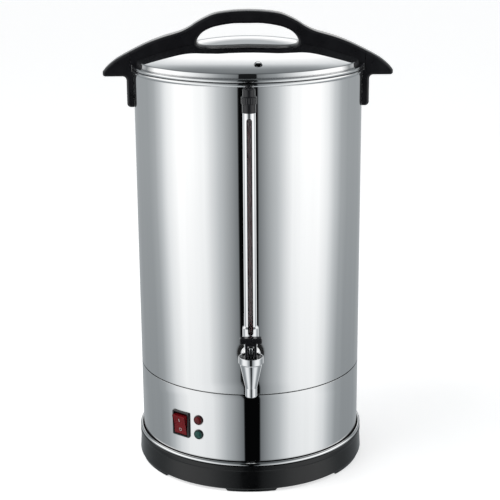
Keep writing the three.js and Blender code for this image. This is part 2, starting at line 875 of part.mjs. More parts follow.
const crownShares = [
  [0, 1], [0.105, 0.99], [0.216, 0.955], [0.286, 0.893], [0.35, 0.81], [0.397, 0.736], [0.466, 0.658],
  [0.589, 0.57], [0.694, 0.474], [0.808, 0.34], [0.904, 0.212], [0.968, 0.09], [1, 0],
];
const crownSteps = 18;
const crownHalf = new THREE.SplineCurve(crownShares.map(([x, z]) => new THREE.Vector2(
  handleReach * x, handleTip + (handleCrest - handleTip) * z,
))).getPoints(crownSteps).map((point) => [point.x, point.y]);
const gripShares = [[0, 1], [0.3, 0.99], [0.6, 0.87], [0.75, 0.75], [0.88, 0.57], [0.97, 0.3], [1, 0]];
const gripSteps = 9;
const gripCurve = new THREE.SplineCurve(gripShares.map(([x, z]) => new THREE.Vector2(
  gripHalf * x, gripFoot + (gripTop - gripFoot) * z,
))).getPoints(gripSteps).map((point) => [point.x, point.y]);

function mirrored(points) {
  return points.map(([x, y]) => [-x, y]);
}

const handleFoot = lidFlangeTop + touch;
const crossbarTop = crownHalf.filter(([x]) => x < (handleSeamRadius + handleReach) / 2);
const crossbarReach = crossbarTop[crossbarTop.length - 1][0];
const crossbar = outline([
  ...mirrored(crossbarTop).reverse(),
  ...crossbarTop.slice(1),
  [crossbarReach, handleFoot - overrun],
  [gripHalf, handleFoot - overrun],
  ...gripCurve.slice().reverse(),
  ...mirrored(gripCurve).slice(1),
  [-gripHalf, handleFoot - overrun],
  [-crossbarReach, handleFoot - overrun],
]);

// The lid as a full solid, with the touching gap added all over
const lidKeepOut = turned([
  ...domeArc.map(([radius, height]) => [radius, height + touch]),
  [lidWallTop + touch / 2, domeHeight(lidWallTop) + touch],
  [lidWallTop + touch, domeHeight(lidWallTop) - lidEdgeRound + touch],
  [lidWallFoot + touch, handleFoot],
  [handleReach, handleFoot],
  [handleReach, tankFloorHeight],
  [0, tankFloorHeight],
], bodySides);
add('lid_handle', cut(
  common(uprightSlab(crossbar, handleWidth, handleBevel), core(handleSeamRadius)),
  lidKeepOut,
  atLidScrew(lidScrewHole, 1),
  atLidScrew(lidScrewHole, -1),
), black);
[['right', 1], ['left', -1]].forEach(([side, sign]) => {
  const piece = screw(lidScrewHeadRadius, lidScrewHeadHeight, lidScrewRadius, lidScrewLength);
  const mesh = add(`lid_screw_${side}`, moved(piece, 0, 0, -steelWall - touch), zinc);
  mesh.rotation.y = lidScrewTilt * sign;
  mesh.position.set(lidScrewReach * sign, 0, lidScrewHeight);
});

const earTop = crownHalf.filter(([x]) => x > bodyRadius - handleWidth / 2);
const earShape = outline([
  ...earTop,
  ...ovalArc(
    earUndersideReach, earUnderside + earTipRound, handleReach - earUndersideReach, earTipRound,
    0, -Math.PI / 2, 3,
  ),
  ...ovalArc(legOuter + earFillet, earUnderside - earFillet, earFillet, earFillet, Math.PI / 2, Math.PI, 4),
  ...ovalArc(
    legOuter - legFootRound, legFoot + legFootRound, legFootRound, legFootRound, 0, -Math.PI / 2, 4,
  ),
  [earTop[0][0], legFoot],
]);
const bodyKeepOut = turned([
  [0, tankFloorHeight],
  [bodyRadius + touch, tankFloorHeight],
  [bodyRadius + touch, rimTop - rimBeadHeight - touch * 2],
  [rimRadius + touch, rimTop - rimBeadHeight],
  [rimRadius + touch, rimTop],
  [handleSeamRadius + handleSeamGap, rimTop],
  [handleSeamRadius + handleSeamGap, handleCrest],
  [0, handleCrest],
], bodySides);
const legHoles = handleScrewHeights.map((height) => (
  rodX(handleScrewRadius + slack, 0, bodyRadius + touch + handleScrewReach, height, smallSides)
));
const ear = cut(uprightSlab(earShape, handleWidth, handleBevel), bodyKeepOut, ...legHoles);
const handleScrewSeat = flatInside(innerRadius, handleScrewHeadRadius);
const handleScrew = screw(
  handleScrewHeadRadius, handleScrewHeadHeight, handleScrewRadius,
  bodyRadius + handleScrewReach - handleScrewSeat,
).rotateY(Math.PI / 2);
[['right', 0], ['left', Math.PI]].forEach(([side, angle]) => {
  const group = wallGroup(angle, 0);
  add(`side_handle_${side}`, ear, black, group);
  handleScrewHeights.forEach((height, i) => {
    add(`handle_screw_${side}_${i + 1}`, moved(handleScrew, handleScrewSeat, 0, height), zinc, group);
  });
});

// Heater: plate against the tank floor, tubular element, clamp bar on the floor's stud, thermostats

const heaterTop = tankFloorHeight - touch;
const heaterUnderside = heaterTop - heaterPlateThickness;
add('heater_plate', cut(
  drum(heaterPlateRadius, heaterUnderside, heaterTop, bodySides),
  drum(clampStudRadius + slack, 0, tankFloorHeight, smallSides),
), aluminium);

const elementHeight = heaterUnderside - touch - elementTubeRadius;
const elementSteps = 20;
const elementPath = [];
for (let i = 0; i <= elementSteps; i += 1) {
  const angle = Math.PI / 2 + elementGap / 2 + (Math.PI * 2 - elementGap) * i / elementSteps;
  elementPath.push([elementRadius * Math.cos(angle), elementRadius * Math.sin(angle), elementHeight]);
}
const elementRing = wireAlong(curveThrough(elementPath), elementTubeRadius, elementSteps, 8);
const elementTails = [elementPath[0], elementPath[elementSteps]].map(([x, y]) => moved(
  drum(elementTubeRadius / 2, elementHeight - elementTail, elementHeight, smallSides), x, y, 0,
));
const elementEnds = [elementPath[0], elementPath[elementSteps]].map(([x, y]) => moved(
  closed(new THREE.SphereGeometry(elementTubeRadius, 8, 6)).rotateX(Math.PI / 2), x, y, elementHeight,
));
add('heater_element', join(elementRing, ...elementEnds, ...elementTails), steel);

const clampTop = elementHeight - elementTubeRadius - touch;
const clampUnderside = clampTop - clampThickness;
add('clamp_bar', cut(
  moved(block(clampLength, clampWidth, clampThickness), 0, 0, (clampTop + clampUnderside) / 2),
  drum(clampStudRadius + slack, 0, tankFloorHeight, smallSides),
), zinc);
const clampNutTop = clampUnderside - touch;
add('clamp_nut', hexagonNut(
  clampNutRadius, clampNutTop - clampNutHeight, clampNutTop, clampStudRadius + touch,
), zinc);

function thermostat() {
  const body = turned([
    [0, -thermostatHeight],
    [thermostatRadius, -thermostatHeight],
    [thermostatRadius, -thermostatFlangeThickness],
    [thermostatFlangeRadius, -thermostatFlangeThickness],
    [thermostatFlangeRadius, 0],
    [0, 0],
  ], smallSides);
  const tab = block(thermostatTab, thermostatTabThickness, thermostatTabLength);
  const tabHeight = -thermostatHeight - thermostatTabLength / 2 + thermostatTabThickness;
  return join(
    body,
    moved(tab, 0, thermostatRadius / 2, tabHeight),
    moved(tab, 0, -thermostatRadius / 2, tabHeight),
  );
}
const thermostatPlaces = [
  ['boil_thermostat', thermostatAngle],
  ['warm_thermostat', Math.PI - thermostatAngle],
  ['thermal_cutout', -Math.PI / 2],
];
thermostatPlaces.forEach(([name, angle]) => {
  const mesh = add(name, thermostat(), black);
  mesh.position.set(
    thermostatOffset * Math.cos(angle), thermostatOffset * Math.sin(angle), heaterUnderside - touch,
  );
});

// Rocker switch

const switchGroup = wallGroup(switchAngle, switchHeight);
const bezelFront = -bodyRadius - bezelProud;
const rockerEdge = rockerPivotDepth + rockerHalfHeight * Math.tan(rockerTilt);
const pocketHalfHeight = Math.hypot(rockerHalfHeight, rockerEdge) + slack;
const pocketWidth = rockerWidth + slack * 2;
const bezel = cut(
  moved(
    uprightSlab(
      roundedRectangle(bezelWidth, bezelHeight, bezelBevel * 3), (bezelProud + steelWall) * 2, bezelBevel,
    ),
    0, bezelFront + bezelProud + steelWall, 0,
  ),
  core(bodyRadius + touch),
);
const switchCase = moved(
  block(switchBodyWidth, switchDepth + bezelProud, switchBodyHeight),
  0, bezelFront + bezelBevel + (switchDepth + bezelProud) / 2, 0,
);
const switchPocket = moved(
  block(pocketWidth, switchPocketDepth * 2, pocketHalfHeight * 2), 0, bezelFront, 0,
);
const switchBack = bezelFront + bezelBevel + switchDepth + bezelProud;
const switchTabs = [-1, 1].map((side) => moved(
  block(switchTabWidth, switchTabLength + overrun, switchTabThickness),
  0, switchBack + (switchTabLength - overrun) / 2, switchTabSpacing / 2 * side,
));
const pivotY = -bodyRadius - bezelProud + rockerPivotDepth;
const trunnionHoles = moved(
  rodX(
    trunnionRadius + touch, -pocketWidth / 2 - trunnionLength, pocketWidth / 2 + trunnionLength, 0, smallSides,
  ),
  0, pivotY, 0,
);
add('switch_housing', cut(
  join(bezel, switchCase, ...switchTabs), switchPocket, trunnionHoles,
), black, switchGroup);

// The rocker in its middle place, with X out of the wall, then tipped so its foot is pressed in
const rockerSection = outline([
  [rockerPivotDepth, 0],
  [rockerEdge, rockerHalfHeight],
  [rockerPivotDepth - rockerDepth, rockerHalfHeight - rockerTaper],
  [rockerPivotDepth - rockerDepth, -rockerHalfHeight + rockerTaper],
  [rockerEdge, -rockerHalfHeight],
]);
const rocker = join(
  sideSlab(rockerSection, rockerWidth),
  rodX(trunnionRadius, -rockerWidth / 2 - trunnionLength, rockerWidth / 2 + trunnionLength, 0, smallSides),
);
const rockerMesh = add('switch_rocker', rocker.rotateX(rockerTilt), redPlastic, switchGroup);
rockerMesh.position.y = pivotY;

// Lamps

const lensShares = [[0.8, 0.6], [0.4, 1], [0, 1]];
function lampLens() {
  const front = bodyRadius + touch;
  return turned([
    [0, -front + lampPlugLength],
    [lampPlugRadius, -front + lampPlugLength],
    [lampPlugRadius, -front],
    [lampRadius, -front],
    [lampRadius, -front - lampFlange],
    ...lensShares.map(([radius, rise]) => [lampRadius * radius, -front - lampFlange - lampDome * rise]),
  ], smallSides).rotateX(-Math.PI / 2);
}
function lampBody() {
  const front = -flatInside(innerRadius, lampBodyRadius);
  const mouth = -bodyRadius - touch + lampPlugLength + touch;
  const wall = (lampBodyRadius - lampPlugRadius) / 2;
  return turned([
    [lampPlugRadius + touch, front],
    [lampBodyRadius, front],
    [lampBodyRadius, front + lampBodyLength],
    [wall, front + lampBodyLength],
    [0, front + lampBodyLength],
    [0, mouth],
    [lampPlugRadius + touch, mouth],
  ], smallSides).rotateX(-Math.PI / 2);
}
[
  ['boil', boilLampHeight, redPlastic],
  ['warm', warmLampHeight, greenPlastic],
].forEach(([name, height, material]) => {
  const group = wallGroup(lampAngle, height);
  add(`${name}_lamp_lens`, lampLens(), material, group);
  add(`${name}_lamp_body`, lampBody(), satinBlack, group);
});

// Power inlet, its three pins and two screws

const inletGroup = wallGroup(inletAngle, inletHeight);
const inletFront = -bodyRadius - inletFlangeProud;
const inletFlange = cut(
  moved(
    uprightSlab(roundedRectangle(inletFlangeWidth, inletFlangeHeight, inletCorner), inletFlangeProud * 2),
    0, inletFront + inletFlangeProud, 0,
  ),
  core(bodyRadius + touch),
);
const inletCase = moved(
  block(inletBodyWidth, inletBodyDepth, inletBodyHeight), 0, inletFront + inletBodyDepth / 2 + touch, 0,
);
const inletCavity = moved(
  uprightSlab(roundedRectangle(inletCavityWidth, inletCavityHeight, inletCorner), inletCavityDepth * 2),
  0, inletFront, 0,
);
const inletScrewHoles = [-1, 1].map((side) => moved(inletScrewHole, inletScrewSpacing / 2 * side, 0, 0));
const pinPlaces = [
  ['live_pin', inletPinSpacing / 2, -inletPinRise],
  ['neutral_pin', -inletPinSpacing / 2, -inletPinRise],
  ['earth_pin', 0, inletPinRise],
];
function pinSlab(clearance, front, back) {
  return moved(
    block(inletPinThickness + clearance * 2, back - front, inletPinWidth + clearance * 2),
    0, (front + back) / 2, 0,
  );
}
const cavityBack = inletFront + inletCavityDepth;
const pinFront = cavityBack - inletPinLength;
const pinBack = inletFront + inletBodyDepth + inletPinLength / 2;
const pinHoles = pinPlaces.map(([, x, z]) => moved(
  pinSlab(touch, cavityBack - overrun, inletFront + inletBodyDepth + overrun), x, 0, z,
));
add('inlet_body', cut(
  join(inletFlange, inletCase), inletCavity, ...inletScrewHoles, ...pinHoles,
), black, inletGroup);
pinPlaces.forEach(([name, x, z]) => {
  add(name, moved(pinSlab(0, pinFront, pinBack), x, 0, z), brass, inletGroup);
});
[['left', -1], ['right', 1]].forEach(([side, sign]) => {
  const piece = screw(inletScrewHeadRadius, inletScrewHeadHeight, inletScrewRadius, inletScrewLength);
  const x = inletScrewSpacing / 2 * sign;
  add(
    `inlet_screw_${side}`, moved(piece.rotateX(-Math.PI / 2), x, inletFront - touch, 0), zinc, inletGroup,
  );
});

// Tap, built about the bowl's axis

const tap = new THREE.Group();
tap.position.y = -tapReach;
urn.add(tap);

const boss = moved(turned([
  [0, bossFoot],
  [bossRadius / 2, bossFoot + touch],
  [bossRadius, shankHeight - touch],
  [bossRadius, bossShoulder],
  [bossNeckRadius, bossNeckHeight],
  [bossRimRadius, bossTop - touch * 2],
  [bossRimRadius, bossTop],
  [0, bossTop],
]), 0, gaugeBack, 0);
const bowl = turned([
  [0, nozzleFoot],
  [nozzleRadius - touch, nozzleFoot],
  [nozzleRadius, nozzleFoot + touch],
  [nozzleRadius, nozzleTop],
  [coneRadius, coneTop],
  [collarRadius, coneTop + touch],
  [collarRadius, collarTop],
  [0, collarTop],
]);
const sealFront = bowlBack - touch - tapSealThickness;
const flangeBack = sealFront - touch;
const shankEnd = bowlBack + shankInside;
const casting = join(
  bowl,
  boss,
  rodY(shankRadius, 0, shankEnd, shankHeight),
  rodY(tapFlangeRadius, flangeBack - tapFlangeThickness, flangeBack, shankHeight),
);
const seatRadius = nozzleBore + valveSeatWidth;
const bowlHollow = turned([
  [0, nozzleFoot - overrun],
  [nozzleBore, nozzleFoot - overrun],
  [nozzleBore, valveSeatHeight],
  [seatRadius, valveSeatHeight],
  [coneRadius - bowlWall, coneTop],
  [coneRadius - bowlWall, collarShelf],
  [collarRadius - collarWall, collarShelf],
  [collarRadius - collarWall, collarTop + overrun],
  [0, collarTop + overrun],
]);
const gaugeHollow = moved(turned([
  [0, shankHeight],
  [gaugeBore, shankHeight],
  [gaugeBore, glassFoot - touch],
  [glassRadius + touch, glassFoot - touch],
  [glassRadius + touch, socketFloor],
  [socketRadius, socketFloor],
  [socketRadius, bossTop + overrun],
  [0, bossTop + overrun],
]), 0, gaugeBack, 0);
add('tap_body', cut(
  casting, bowlHollow, gaugeHollow, rodY(shankBore, 0, shankEnd + overrun, shankHeight),
), chrome, tap);

const outerSeal = moved(ring(
  shankRadius + touch, tapSealRadius, sealFront, bowlBack + overrun,
).rotateX(-Math.PI / 2), 0, 0, shankHeight);
add('tap_outer_seal', cut(outerSeal, moved(core(bodyRadius + touch), 0, tapReach, 0)), rubber, tap);
const innerSealBack = tapReach - flatInside(innerRadius, tapSealRadius) + tapSealThickness;
const innerSeal = moved(ring(
  shankRadius + touch, tapSealRadius, bowlBack, innerSealBack,
).rotateX(-Math.PI / 2), 0, 0, shankHeight);
add('tap_inner_seal', common(innerSeal, moved(core(innerRadius - touch), 0, tapReach, 0)), rubber, tap);
const tapNut = hexagonNut(
  tapNutRadius, innerSealBack + touch, innerSealBack + touch + tapNutThickness, shankRadius + touch,
);
add('tap_back_nut', moved(tapNut.rotateX(-Math.PI / 2), 0, 0, shankHeight), brass, tap);

const bonnetRadius = collarRadius - collarWall - touch;
add('tap_bonnet', turned([
  [stemRadius + slack, collarShelf + touch],
  [bonnetRadius, collarShelf + touch],
  [bonnetRadius, bonnetEdgeTop],
  [bonnetPadRadius, bonnetEdgeTop],
  [bonnetPadRadius, bonnetPadTop],
  [stemRadius + slack, bonnetPadTop],
]), black, tap);

// Valve: seat cup on the stem, spring above it and the stem's tongue between the lever's cheeks
const cupFoot = valveSeatHeight + touch;
const cupTop = cupFoot + cupThickness;
const cupBossTop = cupTop + cupBossHeight;
const stemFoot = cupBossTop - stemGrip;
add('seat_cup', turned([
  [0, cupFoot],
  [cupRadius, cupFoot],
  [cupRadius, cupTop],
  [cupBossRadius, cupTop],
  [cupBossRadius, cupBossTop],
  [stemRadius + touch, cupBossTop],
  [stemRadius + touch, stemFoot - touch],
  [0, stemFoot - touch],
]), silicone, tap);
const springFoot = cupTop + touch + springWire;
const springTop = collarShelf - springWire;
const springCurve = curveThrough(Array.from({ length: springSteps + 1 }, (_, i) => {
  const angle = Math.PI * 2 * springTurns * i / springSteps;
  return [
    springRadius * Math.cos(angle), springRadius * Math.sin(angle),
    springFoot + (springTop - springFoot) * i / springSteps,
  ];
}));
add('valve_spring', wireAlong(springCurve, springWire, springSteps, 5), steel, tap);
const tongueShape = outline([
  [-tongueRound, tongueFoot],
  ...ovalArc(0, pinHeight, tongueRound, tongueRound, Math.PI, 0, 8),
  [tongueRound, tongueFoot],
]);
const tongue = sideSlab(tongueShape, tongueHalf * 2);
const pinHole = rodX(pinRadius + touch, -leverHalf - overrun, leverHalf + overrun, pinHeight, smallSides);
add('valve_stem', cut(join(drum(stemRadius, stemFoot, tongueFoot + touch), tongue), pinHole), brass, tap);
add('lever_pin', rodX(pinRadius, -leverHalf, leverHalf, pinHeight, smallSides), steel, tap);

// Lever: its cams lift the stem evenly as it tips, because their reach grows with the angle
const camReach = pinHeight - bonnetPadTop - touch;
const camRise = stemLift / leverTilt;
const camFront = Array.from({ length: camSteps + 1 }, (_, i) => {
  const angle = leverTilt * i / camSteps;
  const reach = camReach + camRise * angle;
  return [
    reach * Math.sin(angle) + camRise * Math.cos(angle),
    camRise * Math.sin(angle) - reach * Math.cos(angle),
  ];
});
const barFoot = barBottom - pinHeight;
const cheekShape = outline([
  ...ovalArc(0, 0, camReach, camReach, Math.PI, Math.PI * 3 / 2, camSteps),
  ...camFront,
  [leverNeckHalf, leverBridge],
  [leverNeckHalf, barFoot + barRound],
  [-leverNeckHalf, barFoot + barRound],
  [-leverNeckHalf, leverBridge],
]);
const cheekGap = tongueHalf + cheekClearance;
const gapCutter = moved(
  block(cheekGap * 2, bodyRadius, bodyRadius), 0, 0, leverBridge - bodyRadius / 2,
);
const bar = moved(
  sideSlab(roundedRectangle(barDepth, barTop - barBottom, barRound), barWidth, barBevel),
  0, 0, (barTop + barBottom) / 2 - pinHeight,
);
const lever = cut(
  join(sideSlab(cheekShape, leverHalf * 2), bar), gapCutter, moved(pinHole, 0, 0, -pinHeight),
);
const leverMesh = add('tap_lever', lever, black, tap);
leverMesh.position.z = pinHeight;

// Sight gauge

const gauge = new THREE.Group();
gauge.position.y = -gaugeReach;
urn.add(gauge);

add('gauge_glass', ring(glassRadius - glassWall, glassRadius, glassFoot, glassTop), glass, gauge);
add('gauge_seal', ring(
  glassRadius + touch, socketRadius - touch, socketFloor + touch, bossTop - touch,
), rubber, gauge);
const shieldInner = shieldRadius - shieldWall;
const slotCutter = moved(
  uprightSlab(slotOutline(slotTop - slotFoot, slotWidth), bossRimRadius * 2).rotateY(Math.PI / 2),
  0, -bossRimRadius - touch, (slotTop + slotFoot) / 2,
);
add('gauge_shield', cut(turned([
  [shieldInner, shieldFoot],
  [bossRimRadius, shieldFoot],
  [bossRimRadius, shieldCollarTop],
  [shieldRadius, shieldCollarTop + bossRimRadius - shieldRadius],
  [shieldRadius, shieldTop],
  [shieldInner, shieldTop],
]), slotCutter), chrome, gauge);
const stripY = glassRadius + touch + stripThickness / 2;
add('level_strip', moved(
  block(stripWidth, stripThickness, shieldTop - shieldFoot), 0, stripY, (shieldTop + shieldFoot) / 2,
), stripRed, gauge);

const armEnd = gaugeReach - bodyRadius - touch;
const capBlank = turned([
  [0, capFoot],
  [capSkirtRadius, capFoot],
  [capSkirtRadius, capSkirtTop],
  [capRingRadius, capSkirtTop + capRound],
  [capRingRadius, capRingTop - capRound],
  [capHeadRadius, capRingTop],
  [capHeadRadius, capTop - capRound],
  [capHeadRadius - capRound, capTop],
  [0, capTop],
]);
add('gauge_cap', cut(
  join(capBlank, rodY(armRadius, 0, armEnd, armHeight, smallSides)),
  drum(glassRadius + touch, 0, glassTop + touch),
  rodY(gaugeStudRadius + touch, armEnd - gaugeStudGrip - touch, armEnd + overrun, armHeight, smallSides),
), black, gauge);
const gaugeNutFace = gaugeReach - flatInside(innerRadius, gaugeNutRadius);
add('gauge_stud', rodY(
  gaugeStudRadius, armEnd - gaugeStudGrip, gaugeNutFace + gaugeStudInside, armHeight, smallSides,
), zinc, gauge);
const gaugeNut = hexagonNut(
  gaugeNutRadius, gaugeNutFace, gaugeNutFace + gaugeNutThickness, gaugeStudRadius + touch,
);
add('gauge_nut', moved(gaugeNut.rotateX(-Math.PI / 2), 0, 0, armHeight), zinc, gauge);

// Wires from the inlet to the switch and the element

const inletBack = bodyRadius + inletFlangeProud - inletBodyDepth - inletPinLength / 2 - touch;
const tailFoot = elementHeight - elementTail - touch;
const switchTabEnd = bodyRadius - bezelBevel - switchDepth - switchTabLength - touch;
function switchWirePoint(inset, height) {
  const reach = switchTabEnd - inset;
  return [reach * Math.sin(switchAngle), -reach * Math.cos(switchAngle), switchHeight + height];
}
const [tailX, tailY] = [elementPath[0][0], elementPath[0][1]];
const wireDrop = inletHeight / 2;
function wireAt(name, points, material) {
  add(name, wireAlong(curveThrough(points), wireRadius, wireSteps), material);
}
wireAt('live_wire', [
  [-inletPinSpacing / 2, inletBack, inletHeight - inletPinRise],
  [-inletPinSpacing / 2, inletBack - wireBend, inletHeight - inletPinRise],
  [-elementRadius, 0, wireDrop],
  switchWirePoint(wireBend, -switchTabSpacing / 2),
  switchWirePoint(0, -switchTabSpacing / 2),
], wireBrown);
wireAt('switched_wire', [
  switchWirePoint(0, switchTabSpacing / 2),
  switchWirePoint(wireBend, switchTabSpacing / 2),
  [-elementRadius / 2, 0, inletHeight],
  [tailX, tailY, tailFoot - wireBend],
  [tailX, tailY, tailFoot],
], wireBrown);
wireAt('neutral_wire', [
  [inletPinSpacing / 2, inletBack, inletHeight - inletPinRise],
  [inletPinSpacing / 2, inletBack - wireBend, inletHeight - inletPinRise],
  [-tailX, tailY, tailFoot - wireBend],
  [-tailX, tailY, tailFoot],
], wireBlue);

export default urn;
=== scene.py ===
"""Looks of a hot water urn: steel body, domed lid, black handles, pull-lever tap and sight gauge.

Shapes are made in millimetres about the urn's own axis, +Z up and the tap towards -Y, and turned
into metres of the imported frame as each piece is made.
"""

import json
from functools import partial
from math import asin, ceil, cos, hypot, pi, radians, sin, sqrt, tan, tau

import bmesh
import bpy
from mathutils import Matrix, Vector


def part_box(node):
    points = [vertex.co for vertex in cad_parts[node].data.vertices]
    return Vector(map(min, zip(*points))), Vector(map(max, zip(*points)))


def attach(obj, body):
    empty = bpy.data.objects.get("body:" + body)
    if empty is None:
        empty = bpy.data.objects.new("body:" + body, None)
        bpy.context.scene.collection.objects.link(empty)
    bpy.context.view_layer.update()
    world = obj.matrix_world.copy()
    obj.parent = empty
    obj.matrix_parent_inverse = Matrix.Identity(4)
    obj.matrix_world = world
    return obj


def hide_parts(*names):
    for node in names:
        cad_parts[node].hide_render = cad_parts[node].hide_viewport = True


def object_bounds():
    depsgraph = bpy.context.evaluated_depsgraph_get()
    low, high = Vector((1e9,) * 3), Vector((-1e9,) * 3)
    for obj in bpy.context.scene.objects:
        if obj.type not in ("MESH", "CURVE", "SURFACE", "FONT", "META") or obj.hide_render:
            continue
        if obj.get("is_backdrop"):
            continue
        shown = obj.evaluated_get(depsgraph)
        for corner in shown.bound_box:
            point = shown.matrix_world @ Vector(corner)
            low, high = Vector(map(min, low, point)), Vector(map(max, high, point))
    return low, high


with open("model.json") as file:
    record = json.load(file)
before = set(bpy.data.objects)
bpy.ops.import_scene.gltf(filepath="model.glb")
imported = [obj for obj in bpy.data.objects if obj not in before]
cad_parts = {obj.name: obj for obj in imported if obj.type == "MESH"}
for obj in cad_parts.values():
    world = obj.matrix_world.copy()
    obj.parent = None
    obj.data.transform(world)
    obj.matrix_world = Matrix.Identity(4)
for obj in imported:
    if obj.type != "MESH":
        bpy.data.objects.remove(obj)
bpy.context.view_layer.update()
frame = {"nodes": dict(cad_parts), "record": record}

MM = 0.001
MICRON = 0.000001
# The gap between pieces that lie against each other, in millimetres
TOUCH = 0.3
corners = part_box("tank_shell")
AXIS = Vector(((corners[0].x + corners[1].x) / 2, (corners[0].y + corners[1].y) / 2, 0))

def span(node):
    """A node's lowest and highest corners, in millimetres about the urn's axis."""
    low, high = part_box(node)
    return (low - AXIS) / MM, (high - AXIS) / MM


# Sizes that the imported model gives

tank_low, tank_high = span("tank_shell")
skirt_low, skirt_high = span("skirt_shell")
_, ring_high = span("base_ring")
lid_low, lid_high = span("lid_shell")
_, handle_high = span("lid_handle")
ear_low, ear_high = span("side_handle_right")
tap_low, tap_high = span("tap_body")
bonnet_low, bonnet_high = span("tap_bonnet")
_, lever_high = span("tap_lever")
pin_low, pin_high = span("lever_pin")
stem_low, _ = span("valve_stem")
glass_low, glass_high = span("gauge_glass")
shield_low, shield_high = span("gauge_shield")
cap_low, cap_high = span("gauge_cap")
inlet_low, inlet_high = span("inlet_body")

body_radius = skirt_high.x
steel_wall = 0.8
inner_radius = body_radius - steel_wall
seam_height = tank_low.z + 6.8
rim_radius = tank_high.x
rim_top = tank_high.z

# How finely the shapes are divided

SIDES = 192
FITTING_SIDES = 64
SMALL_SIDES = 48
ROD_SIDES = 32
ROUND_STEPS = 5
SPLINE_STEPS = 8
INSET_STEP = 0.25
SHEET_START = radians(135)
NEAR_WINDOW = 0.004
TINY = 1e-6


# Meshes: a shape is a list of points and a list of faces


def quad(a, b, i, j):
    """The face between columns i and j of two rows of point numbers, if it has any area."""
    face = list(dict.fromkeys([a[i], a[j], b[j], b[i]]))
    return [face] if len(face) > 2 else []


def strip(a, b, around=True):
    """The faces between two rows of point numbers."""
    count = len(a)
    return [face for i in range(count if around else count - 1) for face in quad(a, b, i, (i + 1) % count)]


def edge_faces(outside, inside, rows, columns):
    """Faces from an outer to an inner grid of point numbers, down some columns of some rows."""
    return [
        [outside[row][i], outside[row + 1][i], inside[row + 1][i], inside[row][i]]
        for row in rows for i in columns
    ]


def turned(profile, angles, points, flutes=None):
    """Adds a profile's points, turned about Z, to the list of points and gives their numbers by row."""
    rows = []
    for radius, height, *_ in profile:
        start = len(points)
        if radius < TINY:
            points.append((0, 0, height))
            rows.append([start] * len(angles))
            continue
        for angle in angles:
            reach = radius - (flutes(angle, radius, height) if flutes else 0)
            points.append((reach * sin(angle), -reach * cos(angle), height))
        rows.append(list(range(start, len(points))))
    return rows


def lathe(profile, sides=SIDES, flutes=None):
    """A profile of (radius, height), turned about Z. One that starts off the axis closes on itself.

    A third number rounds that corner of the profile.
    """
    points = []
    rows = turned(soften(profile), [tau * i / sides for i in range(sides)], points, flutes)
    pairs = list(zip(rows, rows[1:]))
    if profile[0][0] > TINY:
        pairs.append((rows[-1], rows[0]))
    return points, [face for low, high in pairs for face in strip(low, high)]


def rod(radius, foot, top, sides=ROD_SIDES):
    return lathe([(0, foot), (radius, foot), (radius, top), (0, top)], sides)


def tube(bore, radius, foot, top, sides, edge=0):
    return lathe([(bore, foot, edge), (radius, foot, edge), (radius, top, edge), (bore, top, edge)], sides)


def sheet(outer, inner, windows):
    """A thin wall turned about Z, from its outer and its inner points, with openings.

    A window is (first row, last row, first angle, last angle), with the same rows outside and inside.
    """
    angles = [tau * i / SIDES - SHEET_START for i in range(SIDES)]
    for _, _, first, last in windows:
        angles = [a for a in angles if min(abs(a - first), abs(a - last)) >= NEAR_WINDOW]
        angles = sorted(angles + [first, last])
    count, points = len(angles), []
    outside, inside = (turned(profile, angles, points) for profile in (outer, inner))

    def open_at(row, i):
        middle = (angles[i] + angles[(i + 1) % count]) / 2
        return i + 1 < count and any(r0 <= row < r1 and a0 < middle < a1 for r0, r1, a0, a1 in windows)

    faces = []
    for rows in (outside, inside):
        for row in range(len(rows) - 1):
            for i in range(count):
                if not open_at(row, i):
                    faces += quad(rows[row], rows[row + 1], i, (i + 1) % count)
    for end in (0, -1):
        if outer[end][0] > TINY:
            faces += strip(outside[end], inside[end])
    for r0, r1, a0, a1 in windows:
        columns = [i for i in range(count) if a0 <= angles[i] <= a1]
        first, last = columns[0], columns[-1]
        for row in (r0, r1):
            faces += strip(outside[row][first:last + 1], inside[row][first:last + 1], around=False)
        faces += edge_faces(outside, inside, range(r0, r1), (first, last))
    return points, faces


def double_wall(grids, side_rows):
    """A wall between two grids of points, closed at its ends and, in some rows, along its sides."""
    points, faces, numbers = [], [], []
    for grid in grids:
        numbers.append([])
        for row in grid:
            numbers[-1].append(list(range(len(points), len(points) + len(row))))
            points += row
        for low, high in zip(numbers[-1], numbers[-1][1:]):
            faces += strip(low, high, around=False)
    outside, inside = numbers
    for end in (0, -1):
        faces += strip(outside[end], inside[end], around=False)
    return points, faces + edge_faces(outside, inside, side_rows, (0, -1))


def loft(rings):
    """A skin over closed rings of as many points each."""
    count = len(rings[0])
    rows = [list(range(k * count, (k + 1) * count)) for k in range(len(rings))]
    faces = [face for low, high in zip(rows, rows[1:]) for face in strip(low, high)]
    return [point for ring in rings for point in ring], faces + [rows[0], rows[-1]]


def together(*shapes):
    points, faces = [], []
    for shape_points, shape_faces in shapes:
        start = len(points)
        points += shape_points
        faces += [[start + i for i in face] for face in shape_faces]
    return points, faces


def placed(shape, matrix):
    points, faces = shape
    return [tuple(matrix @ Vector(point)) for point in points], faces


def shifted(shape, x=0, y=0, z=0):
    return placed(shape, Matrix.Translation((x, y, z)))


def spun(shape, angle):
    return placed(shape, Matrix.Rotation(angle, 4, "Z"))


ALONG_Y = Matrix.Rotation(pi / 2, 4, "X")
ALONG_X = Matrix.Rotation(pi / 2, 4, "Y")


# Outlines: lists of (x, z) points in order


